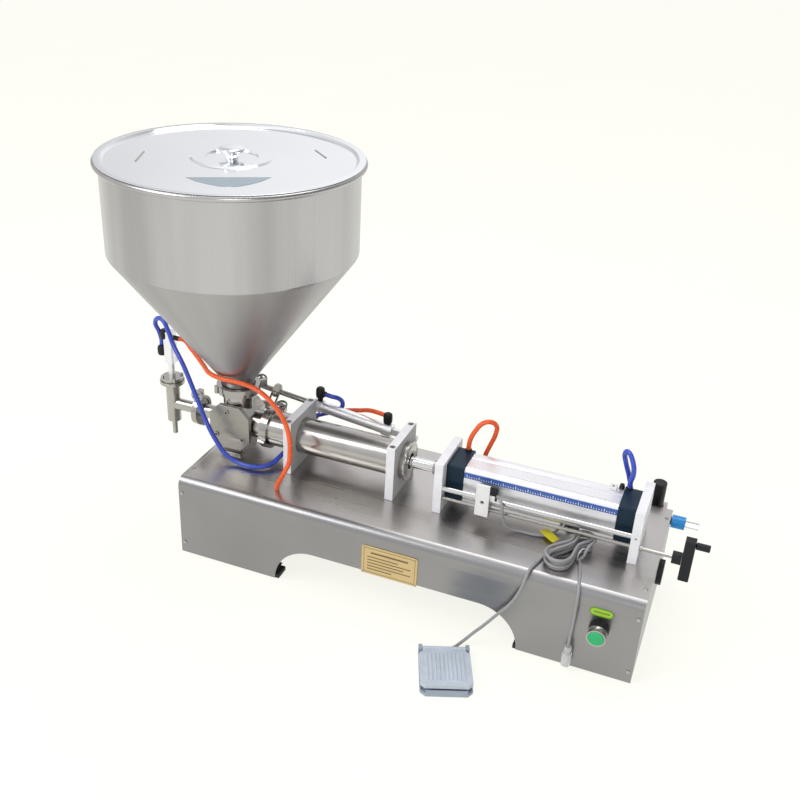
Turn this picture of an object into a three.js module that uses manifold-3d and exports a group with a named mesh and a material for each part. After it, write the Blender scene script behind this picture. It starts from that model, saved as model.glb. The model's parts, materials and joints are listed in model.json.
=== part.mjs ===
// Piston paste filling machine, in millimetres, +Z up.
// A stainless cabinet carries a horizontal piston pump along X. The hopper and the rotary valve
// stand at its left end, the shut-off nozzle hangs in front of it, the air cylinder is at the right.
import * as THREE from 'three';
import { mergeVertices } from 'three/addons/utils/BufferGeometryUtils.js';
import Module from 'manifold-3d';

const wasm = await Module();
wasm.setup();

// Clearances
const fit = 0.3; // between pieces that touch or run in each other
const overrun = 1; // how far a cutter runs past what it cuts
const weld = 1e-4; // corners closer than this are one corner

// Driving sizes of the cabinet
const cabinet = { length: 780, depth: 280, height: 150, sheet: 2, bend: 16, floorGap: 1.5 };
const arch = { inset: 180, height: 70, corner: 68 };
const tray = { sheet: 2, flange: 14, slack: 2 };
const lip = { width: 32, level: 8.3, inset: 16, pastArch: 2 };
const foot = { width: 26, reach: 6, end: 18 };
const caseScrew = { radius: 3.2, height: 1.2, inset: 6.5, low: 22, down: 28, deep: 40, sides: 8 };

// Driving sizes of the pump: the axis stands above the deck and over the middle of the cabinet
const pumpRise = 53;
const tube = { radius: 30.5, bore: 27.5, left: 102.5, right: 360, rim: 33.5, rimWidth: 3 };
const bracket = { width: 14.5, half: 49, rise: 45, lefts: [149.8, 335], screwRadius: 4.2, screwBore: 5 };
const bracketScrew = { offset: 41.3, depth: 4, proud: 3 };
const carrier = { width: 14, half: 49, rise: 38, left: 418, rightInset: 45.3, blind: 8, grubRadius: 2.2 };
const piston = { length: 30, face: 292, seal: 6, groove: 2.5, bolt: 4 };
const rodLine = { radius: 10, coupling: 12.5, couplingLeft: 402, couplingRight: 417, flat: 10.3, flatWide: 6 };
const airRod = { radius: 8, piston: 24.7, pistonLength: 22, rest: 6 };
const airCap = { size: 62, front: 28.7, rear: 27.7, chamfer: 2, bossRadius: 6, bossHeight: 3 };
const airFitting = { radius: 5.5, frontInset: 11, rearInset: 6, back: 25 };
const barrel = { half: 29.5, corner: 8, bore: 25, groove: 1.2, grooves: [-19, 5] };
const guide = { radius: 4.5, forward: 43, drop: 7 };
const screw = { radius: 3.2, drop: 25, reach: 18, hub: 10, hubWidth: 14, collar: 4.5 };
const crank = { wide: 16, thick: 16, below: 34, above: 37.5, gripRadius: 6, gripLength: 20.5, pin: 3 };
const sensor = { left: 490.5, plate: 22, plateThick: 4, drop: 32, rise: 24.5, holeRadius: 3.5 };
const sensorBlock = { depth: 18, rise: -4, reedLeft: 2, reedRight: 8, reedLow: 1.5, reedHigh: 8, reedGap: 31.5 };

// Driving sizes of the ring clamps: one on the pump, one under the hopper, one on the outlet
const pumpClamp = { radius: 37, width: 13, lip: 31.5, turn: 72 };
const hopperClamp = { radius: 37.5, width: 14, lip: 30, turn: -135 };
const outletClamp = { radius: 27, width: 10, lip: 20.8 };
const clampHardware = { bolt: 2.5, nut: 4.5, nutLong: 8, lug: 5, lugHigh: 12, hinge: 4 };
const clampLoop = { radius: 11, hole: 8, thick: 3, bridge: 2, count: 12 };

// Driving sizes of the rotary valve, measured from its own axis, which runs along Y
const valve = { x: 40, wide: 33, high: 36, chamfer: 14, front: 27, back: 32, chamber: 27, chamberBack: 26 };
const valvePort = { top: 26.5, topBore: 13.5, right: 24, rightBore: 15, left: 12.5, leftBore: 8.5 };
const valveRise = 64.7;
const valveFoot = { half: 20, front: 35, back: 25, slab: 4 };
const cover = { wide: 38, high: 41, chamfer: 18, thick: 8.7, screwRadius: 4.2, screwHeight: 3, pitch: 30 };
const coverScrewAngles = [98, -34, 214];
const rotor = { blade: 26.6, sweep: 90, rest: 105, stem: 6, hub: 9 };
const lever = { front: 53, thick: 6, hub: 12, offset: 27, elbow: 20, tip: 59.5, half: 7.5 };
const leverSlot = { near: 27.5, far: 48, half: 4.5, rest: 46.8 };
const leverAngle = 69;
const smallRim = { radius: 22, width: 3 };

// Driving sizes of the slim air cylinder that turns the valve, along its own tilted axis
const actuator = { tilt: 6.6, capNear: 71.7, capFar: 220.8, radius: 10, capRadius: 12, capLong: 17 };
const actuatorRod = { radius: 5, reach: 32, gap: 0.5, pin: 2.5, head: 5.5, headThick: 1.5 };
const actuatorPiston = { radius: 8.2, length: 6, rest: 151, boreRadius: 8.5 };
const actuatorTail = { thick: 8, half: 6, pin: 3, pinEnd: 7 };
const slimFitting = { radius: 5, rise: 19, inset: 10, elbow: 9 };

// Driving sizes of the hopper and its lid, measured from the hopper's own axis
const hopper = { radius: 200, wall: 2, high: 141.5, coneHigh: 235 };
const hopperNeck = { radius: 28, bore: 25.5, high: 16 };
const rim = { radius: 4.5, points: 9, halfSweep: 130 };
const lid = { edge: 206, sheet: 1.6, seat: 196, sink: 4, ring: 61, ringRise: 2.4, dish: 42 };
const lidKnob = { stem: 8, radius: 21, thick: 6, rise: 9.5, round: 2.5 };

// Driving sizes of the shut-off nozzle, measured from its own upright axis and the pump's axis
const nozzle = { x: -93, radius: 12.3, bore: 9.5, drop: 33, rise: 41, flange: 22, flangeThick: 6 };
const nozzleTip = { radius: 4.8, bore: 3.2, long: 28 };
const branch = { radius: 10.4, bore: 6, flare: 20, flareLong: 9, reach: 56 };
const flangeScrew = { radius: 3.2, height: 9, pitch: 17 };
const nozzleCylinder = { half: 9, lift: 34, long: 59, neck: 6.2, chamfer: 2, bore: 7.2, roof: 5 };
const nozzleFoot = { radius: 19, high: 6 };
const nozzleFitting = { radius: 4.5, long: 10, down: 11, stub: 3, elbow: 8, up: 22 };
const plunger = { rod: 3, head: 6.5, headLong: 9, piston: 6.9, pistonRise: 8, pistonLong: 6 };

// Driving sizes of the pieces on the cabinet's walls
const button = { inset: 59.5, down: 62, base: 15.5, baseDeep: 15, ring: 14.8, ringDeep: 11, shank: 11 };
const buttonCap = { radius: 12.1, proud: 1.5, thick: 5, bevel: 1, well: 10, body: 34 };
const sideKnob = { behind: 23, down: 52, radius: 21, thick: 8, shaft: 4, shaftLong: 12, ribs: 16, rib: 1.2 };
const inlet = { inset: 30, down: 9, shank: 7, body: 11, bodyStart: 1.5, bodyLong: 22 };
const nipple = { radius: 6.3, long: 22 };
const regulator = { inset: 12, wide: 36, gap: 4, deep: 36, down: 20, high: 44, bowl: 15, bowlDrop: 46 };
const regulatorKnob = { radius: 11.5, high: 47, stem: 24 };
const grommet = { inset: 143, behind: 4, radius: 13, thick: 3, shank: 8.7, drop: 5 };
const airBlock = { left: 200, right: 300, behind: 10, deep: 50, high: 47.7 };
const coil = { radius: 12, long: 34, inset: 25 };

// Driving sizes of the foot switch, which stands turned on the floor in front of the machine
const pedalBase = { x: 516.6, y: -94.4, turn: 22, wide: 79, long: 98, high: 5, wall: 2.4, gap: 9 };
const pedalGuard = { corner: 8, rise: 6 };
const pedalEar = { wide: 6, rise: 3.5 };
const relief = { aside: 8, sunk: 2.5, radius: 3, long: 10.5, level: 4, turn: 40 };
const pedal = { thick: 6, lift: 2, corner: 7, tilt: 4, hinge: 3, inset: 4, start: 7.2 };
const pedalHinge = { pin: 1.5, barrel: 4.4 };
const pedalRib = { wide: 1.8, high: 0.8, count: 10, side: 11, end: 7, front: 12 };

// Hoses and cables
const hoseDiameter = 8;
const hoseStart = 9; // how far a hose runs straight out of its fitting
const sweepStep = 2.4; // length of one straight step of a hose, in diameters
const cableDiameter = 5;
const hank = { x: 650, y: 67, turn: 65, wideAt: -27, waistAt: 18, farAt: 36, wide: 14.5, waist: 3, far: 8.5 };
const hankPile = { pitch: 6, rise: 5.6, layers: 4 };
const gapSteps = 6; // points for each centre of the hank, where its gap to itself is measured
const gapReach = 3; // how far along the cable the next turn starts, in diameters
const hankSteps = { perLoop: 24, perRun: 6, start: 2, extra: 10, climb: 4 };
const plug = { radius: 7.5, neck: 6, neckLong: 14, long: 36 };

// Number of sides of round pieces
const sides = { hopper: 40, body: 24, bar: 16, pin: 8, hose: 8, cable: 8, hank: 6, corner: 6 };

// Levels and lines that the pieces share
const deck = cabinet.height;
const onDeck = deck + fit;
const axisY = cabinet.depth / 2;
const axisZ = deck + pumpRise;
const buttonLevel = deck - button.down;
const [knobY, knobZ] = [axisY + sideKnob.behind, deck - sideKnob.down];
const [inletY, inletZ] = [cabinet.depth - inlet.inset, deck - inlet.down];
const grommetX = cabinet.length - grommet.inset;
const grommetY = axisY + grommet.behind;
const actuatorY = axisY + lever.front + lever.thick + actuatorRod.gap + actuatorRod.radius;
const guideY = axisY - guide.forward;
const guideZ = axisZ - guide.drop;
const screwZ = axisZ - screw.drop;
const rearCarrierLeft = cabinet.length - carrier.rightInset;
const nozzleLow = axisZ - nozzle.drop;
const nozzleTop = axisZ + nozzle.rise;
const cylinderLow = nozzleTop + nozzle.flangeThick + nozzleCylinder.lift;
const cylinderTop = cylinderLow + nozzleCylinder.long;
const mouth = axisZ + valveRise + fit;
const coneLow = mouth + hopperNeck.high;
const coneTop = coneLow + hopper.coneHigh;
const hopperTop = coneTop + hopper.high;
const tau = 2 * Math.PI;
const quarterTurn = 90;

// Looks
function look(color, roughness, metalness) {
  return new THREE.MeshStandardMaterial({ color, roughness, metalness, flatShading: true });
}
const looks = {
  brushed: look(0xb9b3a8, 0.42, 0.9),
  polished: look(0xd9d9d6, 0.14, 1),
  steel: look(0xc4c2bd, 0.25, 1),
  white: look(0xe9e7e2, 0.5, 0.1),
  navy: look(0x2a3b44, 0.4, 0.5),
  alloy: look(0xc9cbcc, 0.35, 0.8),
  black: look(0x151516, 0.45, 0),
  rubber: look(0x202020, 0.8, 0),
  plastic: look(0xe8e8ea, 0.5, 0),
  green: look(0x2fae62, 0.35, 0),
  blue: look(0x2458c8, 0.35, 0),
  orange: look(0xe2502a, 0.35, 0),
  grey: look(0xb8bbc0, 0.55, 0),
  pedal: look(0xc3cbd6, 0.5, 0),
  seal: look(0xf0efe9, 0.6, 0),
};

// Solids
function point(x, y, z) {
  return new THREE.Vector3(x, y, z);
}

const axes = { x: point(1, 0, 0), y: point(0, 1, 0), z: point(0, 0, 1) };

function signedVolume(positions, corners) {
  const [a, b, c] = [point(), point(), point()];
  let total = 0;
  for (let i = 0; i < corners.length; i += 3) {
    a.fromArray(positions, 3 * corners[i]);
    b.fromArray(positions, 3 * corners[i + 1]);
    c.fromArray(positions, 3 * corners[i + 2]);
    total += a.dot(b.cross(c)) / 6;
  }
  return total;
}

function solid(geometry) {
  geometry.deleteAttribute('normal');
  geometry.deleteAttribute('uv');
  const merged = mergeVertices(geometry, weld);
  const positions = merged.getAttribute('position').array;
  const all = merged.index.array;
  const corners = [];
  for (let i = 0; i < all.length; i += 3) {
    const [a, b, c] = [all[i], all[i + 1], all[i + 2]];
    if (a !== b && b !== c && c !== a) corners.push(a, b, c);
  }
  if (signedVolume(positions, corners) < 0) corners.reverse();
  const vertProperties = new Float32Array(positions);
  const triVerts = new Uint32Array(corners);
  return new wasm.Manifold(new wasm.Mesh({ numProp: 3, vertProperties, triVerts }));
}

function join(...bodies) {
  return bodies.flat().reduce((whole, body) => whole.add(body));
}

function cut(body, ...tools) {
  return tools.flat().reduce((whole, tool) => whole.subtract(tool), body);
}

function surface(body) {
  const { vertProperties, triVerts } = body.getMesh();
  const geometry = new THREE.BufferGeometry();
  geometry.setAttribute('position', new THREE.BufferAttribute(new Float32Array(vertProperties), 3));
  geometry.setIndex(new THREE.BufferAttribute(new Uint32Array(triVerts), 1));
  return geometry;
}

function box(x0, x1, y0, y1, z0, z1) {
  const geometry = new THREE.BoxGeometry(x1 - x0, y1 - y0, z1 - z0);
  return solid(geometry.translate((x0 + x1) / 2, (y0 + y1) / 2, (z0 + z1) / 2));
}

function rod(from, to, radius, count = sides.bar, farRadius = radius) {
  const along = to.clone().sub(from);
  const geometry = new THREE.CylinderGeometry(farRadius, radius, along.length(), count);
  geometry.applyQuaternion(new THREE.Quaternion().setFromUnitVectors(axes.y, along.clone().normalize()));
  const middle = from.clone().add(to).multiplyScalar(0.5);
  return solid(geometry.translate(middle.x, middle.y, middle.z));
}

// A rod along one axis, from one place on it to another, at the two other coordinates
function rodX(x0, x1, y, z, radius, count) {
  return rod(point(x0, y, z), point(x1, y, z), radius, count);
}

function rodY(x, y0, y1, z, radius, count) {
  return rod(point(x, y0, z), point(x, y1, z), radius, count);
}

function rodZ(x, y, z0, z1, radius, count) {
  return rod(point(x, y, z0), point(x, y, z1), radius, count);
}

// A ring or round body from its closed profile of [radius, place along the axis]
function turned(profile, count, axis = 'z') {
  const outline = [...profile, profile[0]].map(([radius, along]) => new THREE.Vector2(radius, along));
  const geometry = new THREE.LatheGeometry(outline, count);
  if (axis === 'x') geometry.rotateZ(-Math.PI / 2);
  if (axis === 'z') geometry.rotateX(Math.PI / 2);
  return solid(geometry);
}

function outlineOf(points) {
  return new THREE.Shape(points.map(([a, b]) => new THREE.Vector2(a, b)));
}

function plate(outline, thickness, across, up, away, place) {
  const settings = { depth: thickness, bevelEnabled: false, curveSegments: sides.corner };
  const geometry = new THREE.ExtrudeGeometry(outline, settings);
  geometry.applyMatrix4(new THREE.Matrix4().makeBasis(across, up, away).setPosition(place));
  return solid(geometry);
}

// Plates square to an axis: their outlines are in (y, z), (x, z) and (x, y)
function plateX(outline, x0, x1) {
  return plate(outline, x1 - x0, axes.y, axes.z, axes.x, point(x0, 0, 0));
}

function plateY(outline, y0, y1) {
  return plate(outline, y1 - y0, axes.x, axes.z, axes.y.clone().negate(), point(0, y1, 0));
}

function plateZ(outline, z0, z1) {
  return plate(outline, z1 - z0, axes.x, axes.y, axes.z, point(0, 0, z0));
}

function roundTopped(left, right, bottom, top, radius) {
  const outline = new THREE.Shape();
  outline.moveTo(left, bottom);
  outline.lineTo(right, bottom);
  outline.absarc(right - radius, top - radius, radius, 0, Math.PI / 2);
  outline.absarc(left + radius, top - radius, radius, Math.PI / 2, Math.PI);
  return outline;
}

// A square outline with round corners, about a middle
function rounded(half, radius, middleA, middleB) {
  const outline = new THREE.Shape();
  const reach = half - radius;
  [[1, 1], [-1, 1], [-1, -1], [1, -1]].forEach(([a, b], i) => {
    const start = (i * Math.PI) / 2;
    outline.absarc(middleA + a * reach, middleB + b * reach, radius, start, start + Math.PI / 2);
  });
  return outline;
}

// A box outline with its corners cut off, about a middle
function chamfered(halfWide, halfHigh, chamfer, middleA = 0, middleB = 0) {
  const [a, b] = [halfWide - chamfer, halfHigh - chamfer];
  const corners = [
    [a, -halfHigh], [halfWide, -b], [halfWide, b], [a, halfHigh],
    [-a, halfHigh], [-halfWide, b], [-halfWide, -b], [-a, -halfHigh],
  ];
  return outlineOf(corners.map(([u, v]) => [middleA + u, middleB + v]));
}

function circlePoints(radius, count, start = 0, sweep = tau) {
  const steps = sweep === tau ? count : count - 1;
  return Array.from({ length: count }, (_, i) => {
    const angle = start + (sweep * i) / steps;
    return [radius * Math.cos(angle), radius * Math.sin(angle)];
  });
}

function polar(radius, degrees) {
  const angle = THREE.MathUtils.degToRad(degrees);
  return [radius * Math.cos(angle), radius * Math.sin(angle)];
}

// Pieces and groups
function group(parent, x = 0, y = 0, z = 0) {
  const made = new THREE.Group();
  made.position.set(x, y, z);
  parent.add(made);
  return made;
}

function add(parent, name, body, material) {
  const mesh = new THREE.Mesh(surface(body), material);
  mesh.name = name;
  parent.add(mesh);
}

// Cabinet: one bent sheet with an arch, return lips at the feet, and the heads of its screws
function caseScrewHeads() {
  const { radius, height, inset, low, down, deep, sides: count } = caseScrew;
  const heads = [];
  for (const x of [inset, cabinet.length - inset]) {
    for (const z of [low, deck - down]) {
      heads.push(rodY(x, -height, cabinet.sheet / 2, z, radius, count));
      heads.push(rodY(x, cabinet.depth - cabinet.sheet / 2, cabinet.depth + height, z, radius, count));
    }
    for (const y of [deep, cabinet.depth - deep]) {
      heads.push(rodZ(x, y, deck - cabinet.sheet / 2, deck + height, radius, count));
    }
  }
  return heads;
}

function cabinetLips() {
  const lips = [];
  const ends = [
    [lip.inset, arch.inset - lip.pastArch],
    [cabinet.length - arch.inset + lip.pastArch, cabinet.length - lip.inset],
  ];
  for (const [x0, x1] of ends) {
    const inner = cabinet.sheet / 2;
    lips.push(box(x0, x1, inner, lip.width, lip.level, lip.level + cabinet.sheet));
    const back = cabinet.depth - inner;
    lips.push(box(x0, x1, cabinet.depth - lip.width, back, lip.level, lip.level + cabinet.sheet));
  }
  return lips;
}

function cabinetBody(hoses) {
  const { length, depth, height, sheet, bend, floorGap } = cabinet;
  const skin = plateX(roundTopped(0, depth, floorGap, height, bend), 0, length);
  const inside = roundTopped(sheet, depth - sheet, -overrun, height - sheet, bend - sheet);
  const hoseBore = hoseDiameter / 2 - fit;
  const opening = roundTopped(arch.inset, length - arch.inset, -overrun, arch.height, arch.corner);
  const shell = cut(
    skin,
    plateX(inside, -overrun, length + overrun),
    plateY(opening, -overrun, depth + overrun),
    rodY(length - button.inset, -overrun, sheet + overrun, buttonLevel, button.shank + fit),
    rodZ(grommetX, grommetY, height - sheet - overrun, height + overrun, grommet.shank + fit),
    hoses.map(([x, y]) => rodZ(x, y, height - sheet - overrun, height + overrun, hoseBore)),
  );
  return join(shell, cabinetLips(), caseScrewHeads());
}

function endPlate() {
  const side = cabinet.sheet + fit;
  const top = deck - side;
  const bend = cabinet.bend - side;
  const bottom = cabinet.floorGap + tray.slack;
  const outer = roundTopped(side, cabinet.depth - side, bottom, top, bend);
  const edge = side + tray.sheet;
  const inner = roundTopped(edge, cabinet.depth - edge, -overrun, top - tray.sheet, bend - tray.sheet);
  return cut(plateX(outer, 0, tray.flange), plateX(inner, tray.sheet, tray.flange + overrun));
}

function footStrip(x0, y0) {
  const long = arch.inset + foot.reach - foot.end;
  return box(x0, x0 + long, y0, y0 + foot.width, 0, lip.level - fit);
}

function addCabinet(machine, hoseEnds) {
  add(machine, 'base_cabinet', cabinetBody(hoseEnds), looks.brushed);
  add(machine, 'left_end_plate', endPlate(), looks.brushed);
  const { length } = cabinet;
  const right = cut(
    endPlate().mirror([1, 0, 0]).translate([length, 0, 0]),
    rodX(length - tray.flange, length + overrun, knobY, knobZ, sideKnob.shaft + fit),
  );
  add(machine, 'right_end_plate', right, looks.brushed);
  const inside = cabinet.sheet + fit;
  const rights = cabinet.length - arch.inset - foot.reach;
  const places = [
    [foot.end, inside],
    [rights, inside],
    [foot.end, cabinet.depth - inside - foot.width],
    [rights, cabinet.depth - inside - foot.width],
  ];
  places.forEach(([x, y], i) => add(machine, `rubber_foot_${i + 1}`, footStrip(x, y), looks.rubber));
}

// Start button: a bezel through the front wall with a well for the spring-loaded cap
function addStartButton(machine) {
  const held = group(machine, cabinet.length - button.inset, 0, buttonLevel);
  const front = -fit - button.baseDeep - button.ringDeep;
  const well = front + buttonCap.well;
  const bezel = turned([
    [0, well], [buttonCap.radius + fit, well], [buttonCap.radius + fit, front], [button.ring, front],
    [button.ring, front + button.ringDeep], [button.base, front + button.ringDeep], [button.base, -fit],
    [button.shank, -fit], [button.shank, buttonCap.body], [0, buttonCap.body],
  ], sides.bar, 'y');
  add(held, 'start_button_bezel', bezel, looks.steel);
  const face = front - buttonCap.proud;
  const back = face + buttonCap.thick;
  const cap = turned([
    [0, back], [buttonCap.radius, back], [buttonCap.radius, face + buttonCap.bevel],
    [buttonCap.radius - buttonCap.bevel, face], [0, face],
  ], sides.bar, 'y');
  add(held, 'start_button', cap, looks.green);
}

// Side knob, air inlet and filter regulator at the right end
function addRightEnd(machine) {
  const wall = cabinet.length;
  const { radius, thick, ribs, rib } = sideKnob;
  const outline = outlineOf(Array.from({ length: 2 * ribs }, (_, i) => {
    const [a, b] = polar(i % 2 ? radius - rib : radius, (i * 180) / ribs);
    return [knobY + a, knobZ + b];
  }));
  const shaftEnd = wall - sideKnob.shaftLong;
  const knob = join(
    plateX(outline, wall + fit, wall + fit + thick),
    rodX(shaftEnd, wall + fit + thick / 2, knobY, knobZ, sideKnob.shaft),
  );
  add(machine, 'side_knob', knob, looks.black);
  const bodyEnd = wall + fit + inlet.bodyStart + inlet.bodyLong;
  const valveBody = join(
    rodX(wall + fit, bodyEnd, inletY, inletZ, inlet.shank),
    rodX(wall + fit + inlet.bodyStart, bodyEnd, inletY, inletZ, inlet.body),
    rodX(bodyEnd - overrun, bodyEnd + nipple.long, inletY, inletZ, nipple.radius, sides.pin),
  );
  add(machine, 'inlet_valve', valveBody, looks.blue);
  const { gap, deep } = regulator;
  const right = wall - regulator.inset;
  const left = right - regulator.wide;
  const high = deck - regulator.down;
  const low = high - regulator.high;
  const front = cabinet.depth + gap;
  const [middleX, middleY] = [(left + right) / 2, front + deep / 2];
  const body = join(
    box(left, right, front, front + deep, low, high),
    rodZ(middleX, middleY, low - regulator.bowlDrop, low + overrun, regulator.bowl),
    rodZ(middleX, middleY, high - overrun, high + regulatorKnob.high, regulatorKnob.radius),
    rodY(middleX, cabinet.depth + fit, front + overrun, (low + high) / 2, regulatorKnob.stem / 2),
  );
  add(machine, 'filter_regulator', body, looks.plastic);
}

function addDeckPieces(machine) {
  const under = deck - cabinet.sheet;
  const lead = turned([
    [0, under - grommet.drop], [grommet.shank, under - grommet.drop], [grommet.shank, onDeck],
    [grommet.radius, onDeck], [grommet.radius - grommet.thick / 2, onDeck + grommet.thick],
    [0, onDeck + grommet.thick],
  ], sides.bar).translate([grommetX, grommetY, 0]);
  add(machine, 'cable_grommet', lead, looks.black);
  const { left, right } = airBlock;
  const front = axisY + airBlock.behind;
  const back = front + airBlock.deep;
  const low = under - fit - airBlock.high;
  const middle = (low + under) / 2;
  const coils = [left + coil.inset, right - coil.inset].map(
    (x) => rodY(x, back - overrun, back + coil.long, middle, coil.radius),
  );
  const block = join(box(left, right, front, back, low, under - fit), coils);
  add(machine, 'air_valve_block', block, looks.alloy);
}

// Brackets: two split ones clamp the material tube, two plain ones carry the air cylinder
function splitBracket(left) {
  const right = left + bracket.width;
  const bore = rodX(left - overrun, right + overrun, axisY, axisZ, tube.radius + fit, sides.body);
  const [front, back] = [axisY - bracket.half, axisY + bracket.half];
  const middle = (left + right) / 2;
  const top = axisZ + bracket.rise;
  const floor = top - bracketScrew.depth;
  const headTop = floor + bracketScrew.proud;
  const screws = [-bracketScrew.offset, bracketScrew.offset].map((offset) => [
    rodZ(middle, axisY + offset, floor, top + overrun, bracket.screwBore, sides.pin),
    rodZ(middle, axisY + offset, floor - overrun, headTop, bracket.screwRadius, sides.pin),
  ]);
  const base = cut(box(left, right, front, back, onDeck, axisZ - fit / 2), bore);
  const cap = cut(box(left, right, front, back, axisZ + fit / 2, top), bore, screws.map(([hole]) => hole));
  return { base, cap: join(cap, screws.map(([, head]) => head)) };
}

function addBrackets(machine) {
  const first = splitBracket(bracket.lefts[0]);
  const second = splitBracket(bracket.lefts[1]);
  const pinX = bracket.lefts[1] + bracket.width / 2;
  const pinZ = actuatorPivot().z;
  const pinStart = axisY + bracket.half - overrun;
  const pinEnd = actuatorY + actuatorTail.pinEnd;
  const pivot = rodY(pinX, pinStart, pinEnd, pinZ, actuatorTail.pin, sides.pin);
  add(machine, 'bracket_1_base', first.base, looks.white);
  add(machine, 'bracket_1_cap', first.cap, looks.white);
  add(machine, 'bracket_2_base', second.base, looks.white);
  add(machine, 'bracket_2_cap', join(second.cap, pivot), looks.white);
  const carrierRight = carrier.left + carrier.width;
  const blindStart = carrierRight - carrier.blind;
  const frontCarrier = cut(
    carrierBlock(carrier.left),
    rodX(carrier.left - overrun, carrierRight + overrun, axisY, axisZ, airRod.radius + fit),
    rodX(blindStart, carrierRight + overrun, guideY, guideZ, guide.radius + fit),
    rodX(blindStart, carrierRight + overrun, guideY, screwZ, screw.radius + fit),
  );
  add(machine, 'bracket_3', frontCarrier, looks.white);
  const blindEnd = rearCarrierLeft + carrier.blind;
  const throughEnd = rearCarrierLeft + carrier.width + overrun;
  const front = axisY - carrier.half;
  const rearCarrier = cut(
    carrierBlock(rearCarrierLeft),
    rodX(rearCarrierLeft - overrun, blindEnd, guideY, guideZ, guide.radius + fit),
    rodX(rearCarrierLeft - overrun, throughEnd, guideY, screwZ, screw.radius + fit),
    rodY(rearCarrierLeft + carrier.width / 2, front - overrun, guideY, guideZ, carrier.grubRadius, sides.pin),
  );
  add(machine, 'bracket_4', rearCarrier, looks.white);
}

function carrierBlock(left) {
  const [front, back] = [axisY - carrier.half, axisY + carrier.half];
  return box(left, left + carrier.width, front, back, onDeck, axisZ + carrier.rise);
}

// Pump: tube, piston and rods on one axis, which is the X axis of their group
function addPump(machine) {
  const pump = group(machine, 0, axisY, axisZ);
  const tubeBody = turned([
    [tube.bore, tube.left], [tube.rim, tube.left], [tube.rim, tube.left + tube.rimWidth],
    [tube.radius, tube.left + tube.rimWidth], [tube.radius, tube.right - tube.rimWidth],
    [tube.rim, tube.right - tube.rimWidth], [tube.rim, tube.right], [tube.bore, tube.right],
  ], sides.body, 'x');
  add(pump, 'material_cylinder', tubeBody, looks.polished);
  const tail = piston.face + piston.length;
  const grooveLeft = piston.face + piston.length / 2 - piston.seal / 2;
  const grooveRight = grooveLeft + piston.seal;
  const bore = rodLine.radius + fit;
  const outer = tube.bore - fit;
  const grooveRadius = outer - piston.groove;
  const pistonBody = turned([
    [bore, piston.face + piston.bolt], [bore, tail], [outer, tail], [outer, grooveRight],
    [grooveRadius, grooveRight], [grooveRadius, grooveLeft], [outer, grooveLeft], [outer, piston.face],
    [0, piston.face], [0, piston.face + piston.bolt],
  ], sides.body, 'x');
  add(pump, 'material_piston', pistonBody, looks.steel);
  const seal = turned([
    [grooveRadius + fit, grooveLeft + fit], [grooveRadius + fit, grooveRight - fit],
    [outer, grooveRight - fit], [outer, grooveLeft + fit],
  ], sides.body, 'x');
  add(pump, 'piston_seal', seal, looks.seal);
  add(pump, 'piston_rod', pistonRod(), looks.steel);
  add(pump, 'air_piston_rod', airPistonRod(), looks.steel);
  const clamp = ringClamp(pumpClamp, tube.rim, 2 * tube.rimWidth + fit, pumpClamp.lip);
  clamp.rotation.set(THREE.MathUtils.degToRad(-pumpClamp.turn), 0, 0);
  clamp.position.set(tube.left - fit / 2, 0, 0);
  clamp.name = 'cylinder_clamp';
  pump.add(clamp);
}

function pistonRod() {
  const { radius, coupling, couplingLeft, couplingRight, flat, flatWide } = rodLine;
  const middle = (couplingLeft + couplingRight) / 2;
  const flats = [-1, 1].map((side) => {
    const [near, far] = [side * flat, side * (coupling + overrun)];
    const [y0, y1] = [Math.min(near, far), Math.max(near, far)];
    return box(middle - flatWide / 2, middle + flatWide / 2, y0, y1, -coupling, coupling);
  });
  const start = piston.face + piston.bolt + fit;
  const shaft = rodX(start, couplingLeft + overrun, 0, 0, radius);
  return cut(join(shaft, rodX(couplingLeft, couplingRight, 0, 0, coupling)), flats);
}

function airPistonRod() {
  const pistonRight = airCapRear().left - airRod.rest;
  const pistonLeft = pistonRight - airRod.pistonLength;
  return join(
    rodX(rodLine.couplingRight + fit, pistonLeft + overrun, 0, 0, airRod.radius),
    rodX(pistonLeft, pistonRight, 0, 0, airRod.piston, sides.body),
  );
}

// Air cylinder: two square caps with push-in fittings and a square grooved barrel between them
function airCapFront() {
  const left = carrier.left + carrier.width + fit;
  return { left, right: left + airCap.front };
}

function airCapRear() {
  const right = rearCarrierLeft - fit;
  return { left: right - airCap.rear, right };
}

function airCapBody({ left, right }, fittingX) {
  const half = airCap.size / 2;
  const bossLow = axisZ + half - overrun;
  const bossHigh = axisZ + half + airCap.bossHeight;
  const fittingY = axisY + airFitting.back;
  return join(
    plateX(chamfered(half, half, airCap.chamfer, axisY, axisZ), left, right),
    rodZ(fittingX, fittingY, bossLow, bossHigh - overrun, airCap.bossRadius, sides.pin),
    rodZ(fittingX, fittingY, bossLow, bossHigh, airFitting.radius, sides.pin),
  );
}

function barrelFittings() {
  const frontX = airCapFront().right - airFitting.frontInset;
  const rearX = airCapRear().left + airFitting.rearInset;
  const top = axisZ + airCap.size / 2 + airCap.bossHeight;
  return { frontX, rearX, top };
}

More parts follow.
